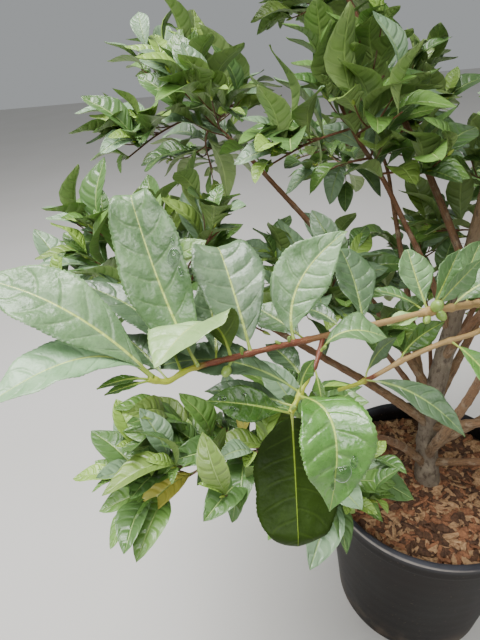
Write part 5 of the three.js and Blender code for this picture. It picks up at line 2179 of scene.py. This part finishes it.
@dataclass
class NearBranch:
    """The branch that hangs over the pot's left side, leaf by leaf."""

    joint_swell: float = 0.32
    joint_width: float = 2.4
    most_swell: float = 1.55
    point_spacing: float = 0.9
    bud_rows: int = 26
    bud_sides: int = 36
    stalk_share: float = 0.22

    def stem_lines(self) -> Lines:
        """Returns the stems' lines, swollen where leaves join them."""
        lines = Lines()
        roots = np.array([leaf.root for leaf in NEAR_LEAVES], float)
        points, _ = BOUGHS[0].stations(6)
        heading = unit(points[-1] - points[-2])
        track = (points[-1] - heading, points[-1] + heading * 8, NEAR_STEMS[0].points[0])
        first = NearStem(track, (2.9, 2.7), (0.0, 0.0))
        for number, stem in enumerate((first, *NEAR_STEMS)):
            line = Line(list(stem.points))
            shares = np.linspace(0, 1, int(line.length / self.point_spacing) + 1)
            track = np.array([line.at(share) for share in shares])
            plain = np.interp(shares, np.linspace(0, 1, len(stem.radii)), stem.radii)
            ages = np.interp(shares, np.linspace(0, 1, len(stem.ages)), stem.ages)
            radii = plain
            for root in roots:
                gap = np.linalg.norm(track - root, axis=1)
                if gap.min() < 3:
                    less = np.clip(1 - 0.25 * (radii / 1.9 - 1), 0, 1)
                    radii = radii * (1 + self.joint_swell * np.exp(-((gap / self.joint_width) ** 2)) * less)
            radii = np.minimum(radii, self.most_swell * plain)
            lines.lay(track, thick=radii * MM, age=ages, number=float(number))
        return lines

    def bud(self, shape: Shape, spec: RoundBud) -> None:
        """Adds one round bud with its scales and stalk.

        Args:
            shape: Shape to add to.
            spec: The bud.
        """
        middle, foot = np.array(spec.middle, float), np.array(spec.foot, float)
        axis = unit(middle - foot)
        x = unit(np.cross(axis, [0.3, 0.1, 1.0]))
        y = np.cross(axis, x)
        long = axis * spec.radius * spec.stretch
        corners = []
        for i in range(self.bud_rows):
            t = i / (self.bud_rows - 1)
            if t < self.stalk_share:
                share = t / self.stalk_share
                at = foot + (middle - long - foot) * share
                radius = 0.3 * spec.radius * (1.15 - 0.25 * share)
                radius = max(radius, min(0.8, 0.8 * spec.radius))
            else:
                polar = math.pi * (0.1 + 0.9 * (t - self.stalk_share) / (1 - self.stalk_share))
                at = middle - long * math.cos(polar) * (1.0 if polar < 1.8 else 1.12)
                radius = spec.radius * math.sin(polar)
            for k, (east, north) in enumerate(rounds(self.bud_sides)):
                angle = 2 * math.pi * k / self.bud_sides
                crease = (1 - abs(math.sin(2.5 * angle + 0.9 * t))) ** 3 if t > 0.3 else 0
                corners.append(at + radius * (1 - 0.06 * crease) * (east * x + north * y))
        shape.take(corners, tube_faces(self.bud_rows, self.bud_sides))

    def build(self, limb_tree: Recipe) -> None:
        """Makes stems, leaves and buds.

        Args:
            limb_tree: Tree that makes limbs along lines.
        """
        values = {"Sides": 18, "Step": 0.0009, "Ridge": 0.16, "Finish": STEM.material()}
        meshes = [limb_tree.grow("near_stems", self.stem_lines().mesh(), values)]
        groups: dict[NearTint, Shape] = {}
        drops, buds = Shape(), Shape()
        for number, leaf in enumerate(NEAR_LEAVES):
            shape = Shape() if leaf.name else groups.setdefault(leaf.tint, Shape())
            LeafBlade(leaf, number).add_to(shape, drops)
            if leaf.name:
                # A leaf marked shaded takes the underside with painted shade.
                under = NEAR_UNDER_PAINTED_SHADE if leaf.shaded else NEAR_UNDER
                meshes.append(shape.mesh(f"near_leaf_{leaf.name}", [leaf.tint.value, under, SHOOT]))
        for tint, shape in groups.items():
            meshes.append(shape.mesh(f"near_leaves_{tint.name.lower()}", [tint.value, NEAR_UNDER, SHOOT]))
        for spec in NEAR_BUDS:
            self.bud(buds, spec)
        meshes += [buds.mesh("near_buds", [BUD]), drops.mesh("water_drops", [WATER])]
        for data in meshes:
            settle(data, ["leaves_front"])


# Studio.


@dataclass
class Studio:
    """Floor, soft light and camera."""

    floor_size: float = 14.0
    sky: Colour = paint(226, 230, 232)
    sky_strength: float = 0.45
    film: float = 36
    photo_height: float = 640

    def floor(self) -> None:
        """Lays the floor."""
        edge = self.floor_size / 2
        data = bpy.data.meshes.new("studio_floor")
        corners = [(-edge, -edge, 0), (edge, -edge, 0), (edge, edge, 0), (-edge, edge, 0)]
        data.from_pydata(corners, [], [(0, 1, 2, 3)])
        data.materials.append(PaleFloor("pale_floor").material())
        floor = bpy.data.objects.new("studio_floor", data)
        bpy.context.scene.collection.objects.link(floor)

    def lamp(self, name: str, place: tuple, aim: tuple, size: float, power: float) -> None:
        """Hangs one soft square lamp.

        Args:
            name: Its name.
            place: Where it hangs, in metres.
            aim: What it points at, in metres.
            size: Its side in metres.
            power: Its power in watts.
        """
        light = bpy.data.lights.new(name, "AREA")
        light.shape = "SQUARE"
        light.size = size
        light.energy = power
        lamp = bpy.data.objects.new(name, light)
        way = Vector(aim) - Vector(place)
        turn = way.to_track_quat("-Z", "Y").to_matrix().to_4x4()
        lamp.matrix_world = Matrix.Translation(place) @ turn
        bpy.context.scene.collection.objects.link(lamp)

    def camera(self) -> None:
        """Sets the camera at the photograph's viewing angle."""
        data = bpy.data.cameras.new("photo_camera")
        data.sensor_fit = "AUTO"
        data.sensor_width = self.film
        data.lens = VIEWER.focal / self.photo_height * self.film
        data.clip_start = 0.01
        camera = bpy.data.objects.new("photo_camera", data)
        axes = Matrix((VIEWER.right, VIEWER.rise, VIEWER.near)).transposed().to_4x4()
        camera.matrix_world = Matrix.Translation(Vector(VIEWER.eye) * MM) @ axes
        bpy.context.scene.collection.objects.link(camera)
        bpy.context.scene.camera = camera

    def build(self) -> None:
        """Sets up the whole studio."""
        world = bpy.data.worlds.new("studio_sky")
        world.use_nodes = True
        ground = world.node_tree.nodes["Background"]
        ground.inputs["Color"].default_value = self.sky
        ground.inputs["Strength"].default_value = self.sky_strength
        bpy.context.scene.world = world
        self.floor()
        self.lamp("key_light", (-0.9, 0.1, 2.6), (-0.1, -0.1, 0.6), 1.3, 104)
        self.lamp("fill_light", (-0.8, -1.9, 2.1), (-0.1, -0.1, 0.6), 1.0, 34)
        self.lamp("right_light", (1.8, -0.6, 1.9), (0, 0, 0.6), 1.4, 14)
        self.camera()


def main() -> None:
    """Builds the plant piece by piece and notes its size."""
    logging.basicConfig(level=logging.INFO, format="%(message)s")
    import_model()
    Studio().build()
    limb_tree, leaf_tree = limb_recipe(), leaf_recipe()
    Pot().build()
    PottingMix().build()
    Limbs().build(limb_tree)
    NearBranch().build(limb_tree)
    Crown().build(limb_tree, leaf_tree)


if __name__ == "__main__":
    main()
